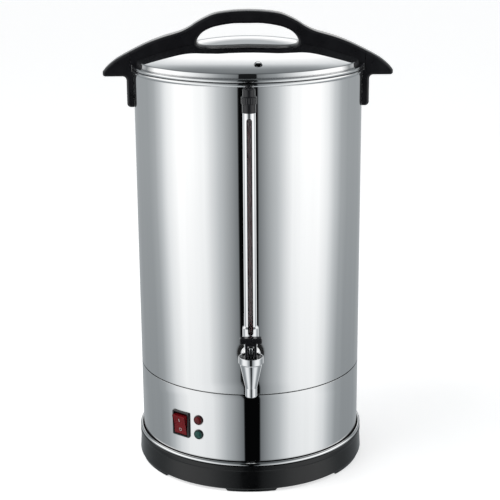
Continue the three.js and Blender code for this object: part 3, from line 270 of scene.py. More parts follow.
def soften(points):
    """The outline with each corner that has a third number rounded to that radius."""
    out = []
    count = len(points)
    for i, point in enumerate(points):
        radius = point[2] if len(point) > 2 else 0
        here = Vector(point[:2])
        if radius <= 0:
            out.append(tuple(here))
            continue
        back = Vector(points[i - 1][:2]) - here
        ahead = Vector(points[(i + 1) % count][:2]) - here
        half = back.angle(ahead) / 2
        reach = min(radius / tan(half), back.length * 0.49, ahead.length * 0.49)
        true_radius = reach * tan(half)
        centre = here + (back.normalized() + ahead.normalized()).normalized() * (true_radius / sin(half))
        first = here + back.normalized() * reach - centre
        last = here + ahead.normalized() * reach - centre
        turn = first.angle_signed(last)
        for k in range(ROUND_STEPS + 1):
            angle = -turn * k / ROUND_STEPS
            out.append((
                centre.x + first.x * cos(angle) - first.y * sin(angle),
                centre.y + first.x * sin(angle) + first.y * cos(angle),
            ))
    return out


def area(points):
    return sum(a[0] * b[1] - b[0] * a[1] for a, b in zip(points, points[1:] + points[:1])) / 2


def corner_move(before, after):
    """How a corner moves when the edges before and after it, each (normal, distance), move inwards."""
    (n, p), (m, q) = before, after
    cross = n.x * m.y - n.y * m.x
    if abs(cross) < 0.02:
        return (n * p + m * q) / 2
    move = Vector(((p * m.y - q * n.y) / cross, (q * n.x - p * m.x) / cross))
    longest = max(p, q) * 2.5
    return move if move.length <= longest else move.normalized() * longest


def drawn_in(points, side, step, shares):
    """The outline moved inwards by one small step; an edge that would turn round closes up instead."""
    count = len(points)
    edges = [points[(i + 1) % count] - points[i] for i in range(count)]
    moves = {
        i: (Vector((-edges[i].y, edges[i].x)).normalized() * side, step * shares[i])
        for i in range(count) if edges[i].length > 1e-5
    }
    before, after = {}, {}
    last = moves[max(moves)]
    for i in range(count):
        before[i] = last
        last = moves.get(i, last)
    last = moves[min(moves)]
    for i in reversed(range(count)):
        last = moves.get(i, last)
        after[i] = last
    moved = [points[i] + corner_move(before[i], after[i]) for i in range(count)]
    for i in range(count):
        j = (i + 1) % count
        if (moved[j] - moved[i]).dot(edges[i]) <= 0:
            moved[i] = moved[j] = (moved[i] + moved[j]) / 2
    return moved


def inset(points, amount, shares=None):
    """The outline drawn in by amount, in small steps. Edge i moves by its share of the amount."""
    side = 1 if area(points) > 0 else -1
    line = [Vector(point[:2]) for point in points]
    count = max(1, ceil(amount / INSET_STEP))
    for _ in range(count):
        line = drawn_in(line, side, amount / count, shares or [1] * len(line))
    return [tuple(point) for point in line]


def spline(points, steps=SPLINE_STEPS):
    """A smooth line through the points, with steps points between each two."""
    out = []
    for i in range(len(points) - 1):
        a, b = points[max(i - 1, 0)], points[i]
        c, d = points[i + 1], points[min(i + 2, len(points) - 1)]
        for k in range(steps):
            t = k / steps
            out.append(tuple(
                0.5 * (2 * b[n] + (c[n] - a[n]) * t + (2 * a[n] - 5 * b[n] + 4 * c[n] - d[n]) * t ** 2
                       + (3 * b[n] - a[n] - 3 * c[n] + d[n]) * t ** 3)
                for n in (0, 1)
            ))
    out.append(tuple(points[-1][:2]))
    return out


def arc(centre_x, centre_z, half_x, half_z, first, last, steps):
    angles = [radians(first + (last - first) * k / steps) for k in range(steps + 1)]
    return [(centre_x + half_x * cos(a), centre_z + half_z * sin(a)) for a in angles]


def rectangle(width, height, radius):
    x, z = width / 2, height / 2
    return soften([(x, z, radius), (-x, z, radius), (-x, -z, radius), (x, -z, radius)])


def boxed(steps):
    """A skin over rectangles in X and Z, each given as (y, width, height, corner radius)."""
    return loft([[(x, y, z) for x, z in rectangle(*size)] for y, *size in steps])


def edge_stations(half, radius, crown=0):
    """Places across a thickness of twice half, each with how far its outline is drawn in."""
    front = []
    for k in range(ROUND_STEPS + 1):
        angle = pi / 2 * k / ROUND_STEPS
        front.append((-(half - radius) - radius * cos(angle), radius * (1 - sin(angle))))
    middle = [((half - radius) * t, 0) for t in (-0.5, 0, 0.5)]
    whole = front + middle + [(-place, amount) for place, amount in reversed(front)]
    return [(place, amount + crown * (place / half) ** 2) for place, amount in whole]


def prism(outline_at, half, radius, crown=0):
    """A shape thick along Y, with rounded edges.

    Its outline is a list of (x, z), or gives that list and the edges' inset shares for each depth y.
    """
    rings = []
    for y, amount in edge_stations(half, radius, crown):
        outline, shares = outline_at(y) if callable(outline_at) else (outline_at, None)
        rings.append([(x, y, z) for x, z in inset(outline, amount, shares)])
    return loft(rings)


# Materials


def nodes_of(name):
    made = bpy.data.materials.new(name)
    made.use_nodes = True
    tree = made.node_tree
    return made, tree, tree.nodes["Principled BSDF"]


def filled(tree, node, *values, **sockets):
    """The node, with inputs set to values or linked to outputs, by their number or by their name."""
    for key, value in [*enumerate(values), *sockets.items()]:
        socket = node.inputs[key if isinstance(key, int) else key.replace("_", " ")]
        if isinstance(value, bpy.types.NodeSocket):
            tree.links.new(value, socket)
        else:
            socket.default_value = value
    return node


def added(tree, kind, *values, **sockets):
    return filled(tree, tree.nodes.new(f"ShaderNode{kind}"), *values, **sockets)


def maths(tree, operation, *values):
    node = added(tree, "Math", *values)
    node.operation = operation
    return node.outputs[0]


def mixed(tree, share, first, second, kind="MIX"):
    node = tree.nodes.new("ShaderNodeMix")
    node.data_type = "RGBA"
    node.blend_type = kind
    return filled(tree, node, share, A=first, B=second).outputs["Result"]


def ramp(tree, value, stops):
    """The colour of a value between stops, each a place and its colour."""
    node = added(tree, "ValToRGB", value)
    elements = node.color_ramp.elements
    while len(elements) < len(stops):
        elements.new(1.0)
    for element, (place, colour) in zip(elements, stops):
        element.position = place
        element.color = (*colour, 1)
    return node.outputs["Color"]


# Noise keeps mostly between these two
NOISE_LOW, NOISE_HIGH = 0.3, 0.7
# Painted shade: how ambient occlusion maps to darkening, and the near-black colour it darkens towards
PAINTED_SHADE_AO_RANGE = 0.44, 0.84
PAINTED_SHADE_COLOUR = (0.01, 0.01, 0.01, 1)
SATIN_DULLNESS = 0.55
SATIN_ROUGHNESS = 0.38


def noise(tree, scale, stretch=(1, 1, 1), detail=4):
    place = added(tree, "TexCoord").outputs["Object"]
    stretched = added(tree, "Mapping", place, Scale=stretch).outputs["Vector"]
    return added(tree, "TexNoise", stretched, Scale=scale, Detail=detail).outputs["Fac"]


def tinted(tree, value, dark, light):
    return ramp(tree, value, [(NOISE_LOW, dark), (NOISE_HIGH, light)])


def ranged(tree, value, low, high, first=NOISE_LOW, last=NOISE_HIGH):
    node = added(tree, "MapRange", value, From_Min=first, From_Max=last, To_Min=low, To_Max=high)
    return node.outputs["Result"]


def bumped(tree, shader, height, depth):
    relief = added(tree, "Bump", Distance=depth, Height=height)
    filled(tree, shader, Normal=relief.outputs["Normal"])


def painted_crevice_shade(tree, colour, reach):
    """Painted shade: the colour, darkened by ambient occlusion where other surfaces lie closer than reach, in
    metres.
    """
    node = added(tree, "AmbientOcclusion", Distance=reach)
    node.samples = 8
    unshaded_share = ranged(tree, node.outputs["AO"], 0, 1, *PAINTED_SHADE_AO_RANGE)
    return mixed(tree, unshaded_share, PAINTED_SHADE_COLOUR, colour)


def finish_of(name, dark, light, rough, grain, relief, stretch=(1, 1, 1), patch=60, crevice=0, **sockets):
    """A surface whose colour and roughness drift in patches, with a fine grain in its relief, and with
    painted shade in its crevices when a reach is given.

    The relief's depth is in microns.
    """
    made, tree, shader = nodes_of(name)
    drift = noise(tree, patch, stretch, 5)
    fine = noise(tree, grain, stretch, 3)
    colour = tinted(tree, drift, dark, light)
    if crevice:
        colour = painted_crevice_shade(tree, colour, crevice)
    bumped(tree, shader, fine, relief * MICRON)
    filled(tree, shader, colour, Roughness=ranged(tree, drift, *rough), **sockets)
    return made


DRAWN = (1, 1, 0.02)
POLISHED = ((0.9, 0.905, 0.905), (0.935, 0.94, 0.94), (0.015, 0.03), 420, 1.5)
# Polished steel gets painted shade wherever other surfaces lie within 4 mm
POLISHED_WAYS = {"Metallic": 1, "stretch": DRAWN, "patch": 90, "crevice": 0.004}
METALS = ("chrome", "brass", "spring_steel", "aluminium", "zinc")
ways_of = {
    "steel": POLISHED_WAYS,
    "switch_red": {"Specular_IOR_Level": 0.2},
    **dict.fromkeys(METALS, {"Metallic": 1}),
    **dict.fromkeys(("lamp_red", "lamp_green"), {"patch": 400, "Specular_IOR_Level": 0.3}),
    **dict.fromkeys(("lamp_red_rim", "lamp_green_rim"), {"patch": 400}),
}
finishes = [
    ("steel", "polished_steel", *POLISHED),
    ("chrome", "chrome_plate", (0.9, 0.905, 0.91), (0.94, 0.945, 0.95), (0.01, 0.02), 500, 1),
    ("black_plastic", "black_moulding", (0.012, 0.012, 0.014), (0.018, 0.018, 0.021), (0.16, 0.22), 2600, 6),
    (
        "base_plastic", "charcoal_moulding", (0.003, 0.0034, 0.0038), (0.005, 0.0055, 0.006), (0.14, 0.19),
        2200, 5,
    ),
    ("rubber", "black_rubber", (0.012, 0.012, 0.012), (0.022, 0.022, 0.022), (0.7, 0.85), 1500, 20),
    ("silicone", "pale_silicone", (0.6, 0.57, 0.5), (0.68, 0.65, 0.58), (0.45, 0.6), 900, 10),
    ("brass", "turned_brass", (0.62, 0.46, 0.2), (0.74, 0.57, 0.27), (0.18, 0.32), 700, 10),
    ("spring_steel", "drawn_wire", (0.5, 0.5, 0.51), (0.62, 0.62, 0.63), (0.2, 0.34), 1400, 10),
    ("aluminium", "cast_aluminium", (0.6, 0.61, 0.62), (0.7, 0.71, 0.72), (0.38, 0.55), 1200, 40),
    ("zinc", "zinc_plate", (0.52, 0.53, 0.52), (0.66, 0.66, 0.63), (0.25, 0.4), 1000, 10),
    ("dark_plastic", "phenolic_moulding", (0.018, 0.016, 0.015), (0.03, 0.027, 0.025), (0.4, 0.55), 1300, 20),
    ("switch_red", "red_rocker", (0.2, 0.008, 0.012), (0.25, 0.011, 0.016), (0.2, 0.3), 900, 6),
    ("lamp_red", "red_lens", (0.1, 0.004, 0.007), (0.17, 0.01, 0.012), (0.08, 0.16), 600, 20),
    ("lamp_green", "green_lens", (0.01, 0.06, 0.05), (0.03, 0.13, 0.11), (0.08, 0.16), 600, 20),
    # The lens rims are darker copies of the lens colours: painted shade at the lenses' edges
    ("lamp_red_rim", "red_lens_rim", (0.03, 0.003, 0.005), (0.05, 0.005, 0.008), (0.1, 0.2), 600, 10),
    ("lamp_green_rim", "green_lens_rim", (0.004, 0.016, 0.015), (0.008, 0.03, 0.028), (0.1, 0.2), 600, 10),
    ("wire_brown", "brown_insulation", (0.1, 0.04, 0.02), (0.15, 0.06, 0.03), (0.35, 0.5), 900, 10),
    ("wire_blue", "blue_insulation", (0.02, 0.07, 0.3), (0.03, 0.1, 0.4), (0.35, 0.5), 900, 10),
]
materials = {slot: finish_of(*values, **ways_of.get(slot, {})) for slot, *values in finishes}
marking = finish_of("pale_marking", (0.6, 0.5, 0.5), (0.72, 0.62, 0.62), (0.35, 0.45), 900, 4)


def satin_inside(made):
    """Turns the polished steel into a satin one on the tank's inner wall."""
    tree = made.node_tree
    shader = tree.nodes["Principled BSDF"]
    place = added(tree, "SeparateXYZ", added(tree, "TexCoord").outputs["Object"]).outputs
    calc = partial(maths, tree)
    across = calc("POWER", place["X"], 2)
    along = calc("POWER", calc("SUBTRACT", place["Y"], AXIS.y), 2)
    edge = (inner_radius + steel_wall / 2) * MM
    inside = calc("LESS_THAN", calc("ADD", across, along), edge ** 2)
    polish = shader.inputs["Roughness"].links[0].from_socket
    return filled(
        tree, shader,
        Metallic=calc("SUBTRACT", 1, calc("MULTIPLY", inside, SATIN_DULLNESS)),
        Roughness=calc("MAXIMUM", polish, calc("MULTIPLY", inside, SATIN_ROUGHNESS)),
    )


def glass_material():
    made, tree, shader = nodes_of("clear_glass")
    fine = noise(tree, 200, DRAWN, 2)
    bumped(tree, shader, fine, 4 * MICRON)
    filled(tree, shader, (0.96, 0.98, 0.98, 1), Roughness=ranged(tree, fine, 0, 0.02), IOR=1.47)
    filled(tree, shader, Transmission_Weight=1)
    return made


def strip_material():
    """Fine slanting lines both ways, red-brown on a pale ground."""
    made, tree, shader = nodes_of("level_hatching")
    place = added(tree, "TexCoord").outputs["Object"]
    waves = []
    for slant in (0.6, -0.6):
        slanted = added(tree, "Mapping", place, Rotation=(0, slant, 0)).outputs["Vector"]
        wave = added(tree, "TexWave", slanted, Scale=150, Distortion=0.4)
        wave.bands_direction = "Z"
        waves.append(wave.outputs["Fac"])
    hatching = tinted(tree, maths(tree, "MULTIPLY", *waves), (0.3, 0.045, 0.06), (0.95, 0.8, 0.82))
    filled(tree, shader, hatching, Roughness=0.5)
    return made


# The tank's steel carries the same painted shade in its crevices
tank_steel = finish_of("tank_steel", *POLISHED, **POLISHED_WAYS)
satin_inside(tank_steel)
materials["glass"] = glass_material()
materials["strip_red"] = strip_material()

record = frame["record"]
slot_of = {row["node"]: row["material_slot"] for row in record["subparts"]}
body_of = {node: body for body, nodes in record["behaviour"]["bodies"].items() for node in nodes}
for name, slot in slot_of.items():
    node = frame["nodes"][name]
    node.data.materials.clear()
    node.data.materials.append(materials[slot])


# Pieces


def in_scene(name, data):
    made = bpy.data.objects.new(name, data)
    bpy.context.scene.collection.objects.link(made)
    return made


def piece(name, shape, body, slot, replaced=None, material=None, sharp=35):
    """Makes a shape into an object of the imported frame, with smooth faces between its sharp edges."""
    points, faces = shape
    mesh = bpy.data.meshes.new(name)
    mesh.from_pydata([AXIS + Vector(point) * MM for point in points], [], faces)
    sculpt = bmesh.new()
    sculpt.from_mesh(mesh)
    bmesh.ops.remove_doubles(sculpt, verts=sculpt.verts, dist=1e-7)
    bmesh.ops.recalc_face_normals(sculpt, faces=sculpt.faces)
    sculpt.to_mesh(mesh)
    sculpt.free()
    mesh.shade_smooth()
    mesh.set_sharp_from_angle(angle=radians(sharp))
    mesh.materials.append(material or materials[slot])
    made = in_scene(name, mesh)
    weighted = made.modifiers.new("even_shading", "WEIGHTED_NORMAL")
    weighted.keep_sharp = True
    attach(made, body)
    if replaced:
        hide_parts(replaced)
    return made


def skin(node, shape, slot=None, **ways):
    """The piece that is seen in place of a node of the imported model, on the node's own body."""
    return piece(f"{node}_skin", shape, body_of[node], slot or slot_of[node], node, **ways)


# Tank and skirt

bead_half = (rim_radius - inner_radius) / 2
bead_rise = 2
bead_centre = inner_radius + bead_half
tank_floor = 135
floor_round = 6
seam_gap = 1.1
tank_foot = seam_height + seam_gap / 2
bead_arc = arc(bead_centre, rim_top - bead_rise, bead_half, bead_rise, -90, 180, 16)
tank_outline = [
    (0, tank_floor - 1),
    (inner_radius, tank_floor - 1, floor_round),
    (inner_radius, tank_foot),
    (body_radius, tank_foot, 0.6),
    (body_radius, rim_top - bead_rise * 2 - TOUCH, 0.4),
    *bead_arc,
    (inner_radius, tank_floor, floor_round),
    (0, tank_floor),
]
stud_radius = 3
stud_foot = 115
stud = rod(stud_radius, stud_foot, tank_floor - 0.5, 24)
skin("tank_shell", together(lathe(tank_outline), stud), material=tank_steel)

# The skirt has openings for the switch and the inlet, and a lap inside the tank's foot

switch_angle = radians(-37.8)
switch_height = 75
bezel_width, bezel_height = 25, 31
inlet_height = (inlet_low.z + inlet_high.z) / 2
inlet_case_width, inlet_case_height = 30, 23
skirt_top = seam_height - seam_gap / 2
fit = 0.4


def window(angle, width, low, high):
    half = asin(width / 2 / body_radius)
    return skirt_heights.index(low), skirt_heights.index(high), angle - half, angle + half


switch_foot, switch_head = (switch_height + side * (bezel_height / 2 - fit) for side in (-1, 1))
inlet_foot, inlet_head = (inlet_height + side * (inlet_case_height / 2 + fit) for side in (-1, 1))
skirt_heights = sorted([skirt_low.z, switch_foot, inlet_foot, inlet_head, switch_head, skirt_top])
windows = [
    window(switch_angle, bezel_width - fit * 2, switch_foot, switch_head),
    window(pi, inlet_case_width + fit * 2, inlet_foot, inlet_head),
]
lap_height = 9
lap_radius = inner_radius - TOUCH
lap = tube(lap_radius - steel_wall, lap_radius, skirt_top - steel_wall, skirt_top + lap_height, SIDES)
edge_fall = 0.5
edge_start = edge_fall * 0.3
skirt_rows = skirt_heights[:-1] + [skirt_top - edge_fall, skirt_top - edge_start, skirt_top]
skirt_drops = [0] * (len(skirt_rows) - 2) + [edge_start, edge_fall]
skirt = sheet(
    [(body_radius - drop, height) for height, drop in zip(skirt_rows, skirt_drops)],
    [(inner_radius, height) for height in skirt_rows],
    windows,
)
skin("skirt_shell", together(skirt, lap))

# Base ring on six feet

base_top = ring_high.z
foot_radius = ring_high.x
base_foot = 3
lip_rise = 11.4
lip_top = base_top - 4.9
lip_radius = foot_radius - 0.6
waist_radius = foot_radius - 1.3
ring_bore = body_radius + TOUCH
wall_inner = ring_bore - 1.1
shelf_top = skirt_low.z - TOUCH
shelf_inner = ring_bore - 26
ring = lathe([
    (wall_inner, base_foot),
    (foot_radius - 1.3, base_foot, 0.6),
    (foot_radius, base_foot + 1.5, 1.2),
    (waist_radius, base_top - lip_rise, 0.8),
    (lip_radius, base_top - lip_rise + 0.9, 0.6),
    (lip_radius, lip_top, 1),
    (ring_bore, lip_top, 0.4),
    (ring_bore, shelf_top),
    (shelf_inner, shelf_top),
    (shelf_inner, shelf_top - 4),
    (wall_inner, shelf_top - 4),
])
foot_start, foot_end = -90 - 13, -90 + 13
foot_inner = wall_inner - 9.5
foot_outer = foot_radius - 1.3
foot_count = 6
foot_top = (base_foot + shelf_top) / 2
foot_steps = 16
foot_outline = (
    arc(0, 0, foot_outer, foot_outer, foot_start, foot_end, foot_steps)
    + arc(0, 0, foot_inner, foot_inner, foot_end, foot_start, foot_steps)
)
foot_shares = ([0.25] * foot_steps + [1]) * 2
foot_sections = [(0, 3), (0.5, 2.4), (base_foot, 0.4), (base_foot + 0.4, 0), (foot_top, 0)]
foot_pad = loft([
    [(x, y, height) for x, y in inset(foot_outline, amount, foot_shares)]
    for height, amount in foot_sections
])
feet = [spun(foot_pad, tau * i / foot_count) for i in range(foot_count)]
skin("base_ring", together(ring, *feet))
bead_inner = body_radius + 0.1
foot_bead_half = (lip_radius - bead_inner) / 2
foot_bead_rise = 2.15
foot_bead = lathe(arc(
    bead_inner + foot_bead_half, lip_top + foot_bead_rise, foot_bead_half, foot_bead_rise, 0, 345, 23,
))
piece("skirt_foot_bead", foot_bead, "urn", "steel")
# Lid: dome, upright wall, rolled edge and a lip inside the tank

lid_underside = lid_low.z + 11.5
lid_crown = lid_high.z
flange_top = lid_underside + 3.7
wall_foot = rim_radius - 5
wall_top = wall_foot - 1.6
edge_radius = wall_top - 2.9
dome_rise = lid_crown - flange_top - 5.3
dome_sphere = (wall_top ** 2 + dome_rise ** 2) / (dome_rise * 2)


def dome(radius):
    return lid_crown - dome_sphere + sqrt(dome_sphere ** 2 - radius ** 2)


vent_reach = body_radius - 25.5
vent_angle = radians(5.6)
vent_half_width, vent_length, vent_rise = 4.6, 8, 3.4
vent_mouth = vent_reach + 2.5
vent_back = vent_mouth - vent_length
vent_margin = 1.1
dome_steps = 24
vent_rows = (vent_back + vent_margin * 2, vent_mouth - vent_margin / 2)
dome_radii = [edge_radius * i / dome_steps for i in range(dome_steps + 1)]
dome_radii = sorted([r for r in dome_radii if min(abs(r - row) for row in vent_rows) > 1] + list(vent_rows))
dome_points = [(radius, dome(radius)) for radius in dome_radii]
lid_bead_half = 1.85
lid_bead = arc(bead_centre, lid_underside + lid_bead_half, bead_half, lid_bead_half, 90, -90, 12)
lip_outer = inner_radius - 0.8
lip_inner = lip_outer - steel_wall
lid_rim = soften([
    dome_points[-1],
    (wall_top, dome(wall_top), 1.6),
    (wall_foot, flange_top, 0.5),
    lid_bead[0],
])
lid_outer = dome_points + lid_rim[1:-1] + lid_bead + [(lip_outer, lid_underside), (lip_outer, lid_low.z)]
lid_inner = [(radius, height - steel_wall) for radius, height in dome_points] + [
    (wall_top - steel_wall, dome(wall_top) - steel_wall * 2),
    (wall_foot - steel_wall, flange_top - steel_wall),
    (lip_inner, flange_top - steel_wall),
    (lip_inner, lid_low.z),
]
vent_half_angle = (vent_half_width - vent_margin) / vent_reach
vent_window = (
    dome_radii.index(vent_rows[0]), dome_radii.index(vent_rows[1]),
    vent_angle - vent_half_angle, vent_angle + vent_half_angle,
)


def vent_hood():
    """A louver pressed up out of the dome, open towards the front."""
    across, along = 16, 10
    grids = []
    for wall in (0, steel_wall * 0.7):
        grids.append([])
        for k in range(along + 1):
            back = pi / 2 * k / along
            reach = vent_mouth - (vent_length - wall) * sin(back)
            grids[-1].append([(
                (vent_half_width - wall) * cos(turn) * cos(back),
                -reach,
                dome(reach) - TOUCH + (vent_rise - wall) * sin(turn) ** 0.8 * cos(back),
            ) for turn in [pi * i / across for i in range(across + 1)]])
    return spun(double_wall(grids, range(along)), vent_angle)


skin("lid_shell", together(sheet(lid_outer, lid_inner, [vent_window]), vent_hood()))

# Handles: one crown line runs over the lid from the left ear to the right one

handle_half = handle_high.y
handle_crest = handle_high.z
handle_reach = ear_high.x
handle_tip = rim_top - 4.4
seam_reach = handle_high.x
seam_line = 0.12
handle_seat = -0.1
handle_foot = flange_top + handle_seat
handle_round = 2.4
handle_crown = 0.9
seat_share = 0.04
grip_half = 60
grip_top = lid_crown + 17
grip_foot = lid_crown - 7
crown_shares = [
    (0, 1), (0.105, 0.99), (0.216, 0.955), (0.286, 0.893), (0.35, 0.81), (0.397, 0.736), (0.466, 0.658),
    (0.589, 0.57), (0.694, 0.474), (0.808, 0.34), (0.904, 0.212), (0.968, 0.09), (1, 0),
]
grip_shares = [(0, 1), (0.3, 0.99), (0.6, 0.87), (0.75, 0.75), (0.88, 0.57), (0.97, 0.3), (1, 0)]
crown_line = spline([
    (handle_reach * x, handle_tip + (handle_crest - handle_tip) * z) for x, z in crown_shares
])
grip_line = spline([(grip_half * x, grip_foot + (grip_top - grip_foot) * z) for x, z in grip_shares])


def height_on(line, x):
    for (x0, z0), (x1, z1) in zip(line, line[1:]):
        if x0 <= x <= x1:
            return z0 + (z1 - z0) * (x - x0) / max(x1 - x0, 1e-6)
    return line[-1][1]


def at_radius(radius, y):
    return sqrt(radius ** 2 - y ** 2)


def grip_end(y):
    """How far out the grip's opening meets the dome at depth y."""
    return max(x for x, z in spline(grip_line, 4) if z > dome(hypot(x, y)) + TOUCH)


def lid_handle_outline(y):
    """The handle's outline at depth y, and how much of the edge rounding each of its edges takes."""
    reach = at_radius(seam_reach, y)
    crown = [point for point in crown_line if point[0] < seam_reach - 2]
    crown.append((reach, height_on(crown_line, reach)))
    start, last = grip_end(y), at_radius(edge_radius, y)
    foot_steps, grip_steps = 24, 20
    foot = [start + (last - start) * k / foot_steps for k in range(foot_steps + 1)]
    foot = [(x, dome(hypot(x, y)) + handle_seat) for x in foot]
    edge = at_radius(rim_radius + TOUCH, y)
    foot += [
        (at_radius(wall_top + handle_seat, y), dome(wall_top) - 1),
        (at_radius(wall_foot + handle_seat, y), handle_foot),
        (edge, handle_foot),
        (edge, rim_top + TOUCH),
        (reach, rim_top + TOUCH),
    ]
    grip = [start * sin(pi / 2 * k / grip_steps) for k in reversed(range(grip_steps))]
    grip = [(x, height_on(grip_line, x)) for x in grip]
    right = crown[1:] + foot[::-1] + grip
    left = [(-x, z) for x, z in reversed(right[:-1])]
    shares = [1] * (len(crown) - 1) + [seat_share] * len(foot) + [1] * len(grip)
    return [crown[0]] + right + left, shares + shares[::-1]


def moulding(node, shape):
    return skin(node, shape, sharp=40)


moulding("lid_handle", prism(lid_handle_outline, handle_half, handle_round, handle_crown))

leg_outer = body_radius + TOUCH + 8.4
leg_foot = ear_low.z
leg_round = 5
ear_underside = handle_tip - 6
ear_fillet = 4
ear_tip_round = 3.4
ear_tip_reach = handle_reach - 4


def ear_outline(_):
    """An ear's outline, the same at every depth, and the share of the rounding each edge takes."""
    start = seam_reach + seam_line
    top = [(start, height_on(crown_line, start))] + [point for point in crown_line if point[0] > start + 1]
    tip = arc(
        ear_tip_reach, ear_underside + ear_tip_round, handle_reach - ear_tip_reach, ear_tip_round, 0, -90, 6,
    )
    fillet = arc(leg_outer + ear_fillet, ear_underside - ear_fillet, ear_fillet, ear_fillet, 90, 180, 8)
    inner_reach = body_radius + TOUCH
    foot = arc(leg_outer - leg_round, leg_foot + leg_round, leg_round, leg_round, 0, -90, 8)
    seat = [
        (inner_reach, leg_foot),
        (inner_reach, rim_top - 4.6),
        (rim_radius + TOUCH, rim_top - 4),
        (rim_radius + TOUCH, rim_top),
        (start, rim_top),
    ]
    free = top + tip + fillet + foot
    return free + seat, [1] * len(free) + [seat_share] * len(seat)


def follow_wall(shape):
    """Bends the flat inner faces of an ear round the body."""
    points, faces = shape
    out = []
    for x, y, z in points:
        if x < leg_outer:
            share = (leg_outer - x) / (leg_outer - body_radius)
            x -= min(1, share) * (x - at_radius(x, y))
        out.append((x, y, z))
    return out, faces


ear = follow_wall(prism(ear_outline, handle_half, handle_round, handle_crown))
moulding("side_handle_right", ear)
moulding("side_handle_left", spun(ear, pi))

# Tap: bowl, gauge boss and shank, about the bowl's own axis

collar_radius = tap_high.x
tap_reach = -tap_low.y - collar_radius
nozzle_foot = tap_low.z
collar_top = tap_low.z + 48
cone_top = collar_top - 8.8
collar_shelf = cone_top + 2
nozzle_top = nozzle_foot + 10.7
nozzle_radius = 6.6
nozzle_bore = 4.6
cone_radius = collar_radius - 1.4
collar_wall = 1.5
bowl_wall = 2.2
shank_height = cone_top - 4
shank_radius = 8.5
flange_radius = 11.5
seal_radius = span("tap_outer_seal")[1].x
flange_thickness = 3.2
seal_thickness = 2.4
bowl_back = tap_reach - body_radius
gauge_reach = body_radius + 17
boss_top = tap_high.z
boss_foot = shank_height - 11
boss_radius = 11.4
boss_shoulder = shank_height + 5
neck_height = boss_shoulder + 8
neck_radius = 7.3
boss_rim = -shield_low.y - gauge_reach
socket_radius = 7
socket_depth = 5.9


def at_tap(shape, height=0):
    return shifted(shape, 0, -tap_reach, height)


def at_gauge(shape, height=0):
    return shifted(shape, 0, -gauge_reach, height)


bowl = lathe([
    (nozzle_bore, nozzle_foot),
    (nozzle_radius, nozzle_foot, 0.8),
    (nozzle_radius, nozzle_top, 0.5),
    (cone_radius, cone_top, 1.2),
    (collar_radius, cone_top + 1.2, 0.7),
    (collar_radius, collar_top, 0.5),
    (collar_radius - collar_wall, collar_top, 0.4),
    (collar_radius - collar_wall, collar_shelf, 0.4),
    (cone_radius - bowl_wall, collar_shelf),
    (cone_radius - bowl_wall, cone_top),
    (nozzle_bore + 2, nozzle_top + 7.5),
    (nozzle_bore, nozzle_top + 7.5),
], FITTING_SIDES)
boss = lathe([
    (0, boss_foot),
    (boss_radius * 0.6, boss_foot, 4),
    (boss_radius, shank_height - 3, 5),
    (boss_radius, boss_shoulder, 2.5),
    (neck_radius, neck_height, 3),
    (boss_rim, boss_top - 2.4, 1.5),
    (boss_rim, boss_top, 0.4),
    (socket_radius, boss_top),
    (socket_radius, boss_top - socket_depth),
    (0, boss_top - socket_depth),
], FITTING_SIDES)
seal_front = bowl_back - TOUCH - seal_thickness
flange_back = seal_front - TOUCH
flange_front = flange_back - flange_thickness
shank_start = 8.5
shank_end = bowl_back + 15.5
shank_bore = 4.3
shank = lathe([
    (shank_bore, shank_start),
    (shank_radius, shank_start),
    (shank_radius, flange_front - 1, 1),
    (flange_radius - 0.8, flange_front, 0.8),
    (flange_radius, flange_front + 1, 0.6),
    (flange_radius, flange_back, 0.3),
    (shank_radius, flange_back),
    (shank_radius, shank_end, 0.6),
    (shank_bore, shank_end),
], FITTING_SIDES)
turned_back = Matrix.Rotation(-pi / 2, 4, "X")
skin("tap_body", together(at_tap(bowl), at_gauge(boss), at_tap(placed(shank, turned_back), shank_height)))
seal = lathe([
    (shank_radius + TOUCH, seal_front),
    (seal_radius, seal_front, 0.6),
    (seal_radius, bowl_back + 0.2),
    (shank_radius + TOUCH, bowl_back + 0.2),
], FITTING_SIDES)
skin("tap_outer_seal", at_tap(placed(seal, turned_back), shank_height))
stem_radius = 2.5
stem_bore = stem_radius + 0.4
bonnet_radius = bonnet_high.x
bonnet_top = bonnet_high.z
pad_radius = 9.6
pad_foot = bonnet_top - 2.9
skin("tap_bonnet", at_tap(lathe([
    (stem_bore, bonnet_low.z),
    (bonnet_radius, bonnet_low.z, 0.3),
    (bonnet_radius, pad_foot, 0.5),
    (pad_radius, pad_foot, 0.5),
    (pad_radius, bonnet_top, 0.7),
    (stem_bore, bonnet_top, 0.3),
], FITTING_SIDES)))

# Lever: two cheeks on the pin, joined above the stem, and the bar that is pressed

pin_height = (pin_low.z + pin_high.z) / 2
pin_radius = (pin_high.z - pin_low.z) / 2 + 0.07
lever_half = pin_high.x
cheek_gap = 3.35
bar_top = lever_high.z
bar_foot = pin_height + 7.8
bar_half = lever_high.x
bar_depth = 11
lift = 3.5
lever_turn = radians(50)
cam_reach = pin_height - bonnet_top - TOUCH
cam_rise = lift / lever_turn
cam_steps = 12
cam_front = []
for k in range(cam_steps + 1):
    turn = lever_turn * k / cam_steps
    reach = cam_reach + cam_rise * turn
    cam_front.append((reach * sin(turn) + cam_rise * cos(turn), cam_rise * sin(turn) - reach * cos(turn)))
neck_half = 5.5
neck_top = bar_foot - pin_height + 2
bridge_foot = 5.6
cheek_line = arc(0, 0, cam_reach, cam_reach, 180, 270, cam_steps) + cam_front + [
    (neck_half, 2), (neck_half, neck_top), (-neck_half, neck_top), (-neck_half, 0.5),
]
cheek_half = (lever_half - cheek_gap) / 2
cheek = prism(cheek_line, cheek_half, 0.7)
bridge = prism(soften([
    (neck_half, bridge_foot, 0.6), (neck_half, neck_top),
    (-neck_half, neck_top), (-neck_half, bridge_foot, 0.6),
]), cheek_gap + 1, 0.2)
bar_rise = (bar_top + bar_foot) / 2 - pin_height
bar_line = [(x, z + bar_rise) for x, z in rectangle(bar_depth, bar_top - bar_foot, 2.4)]
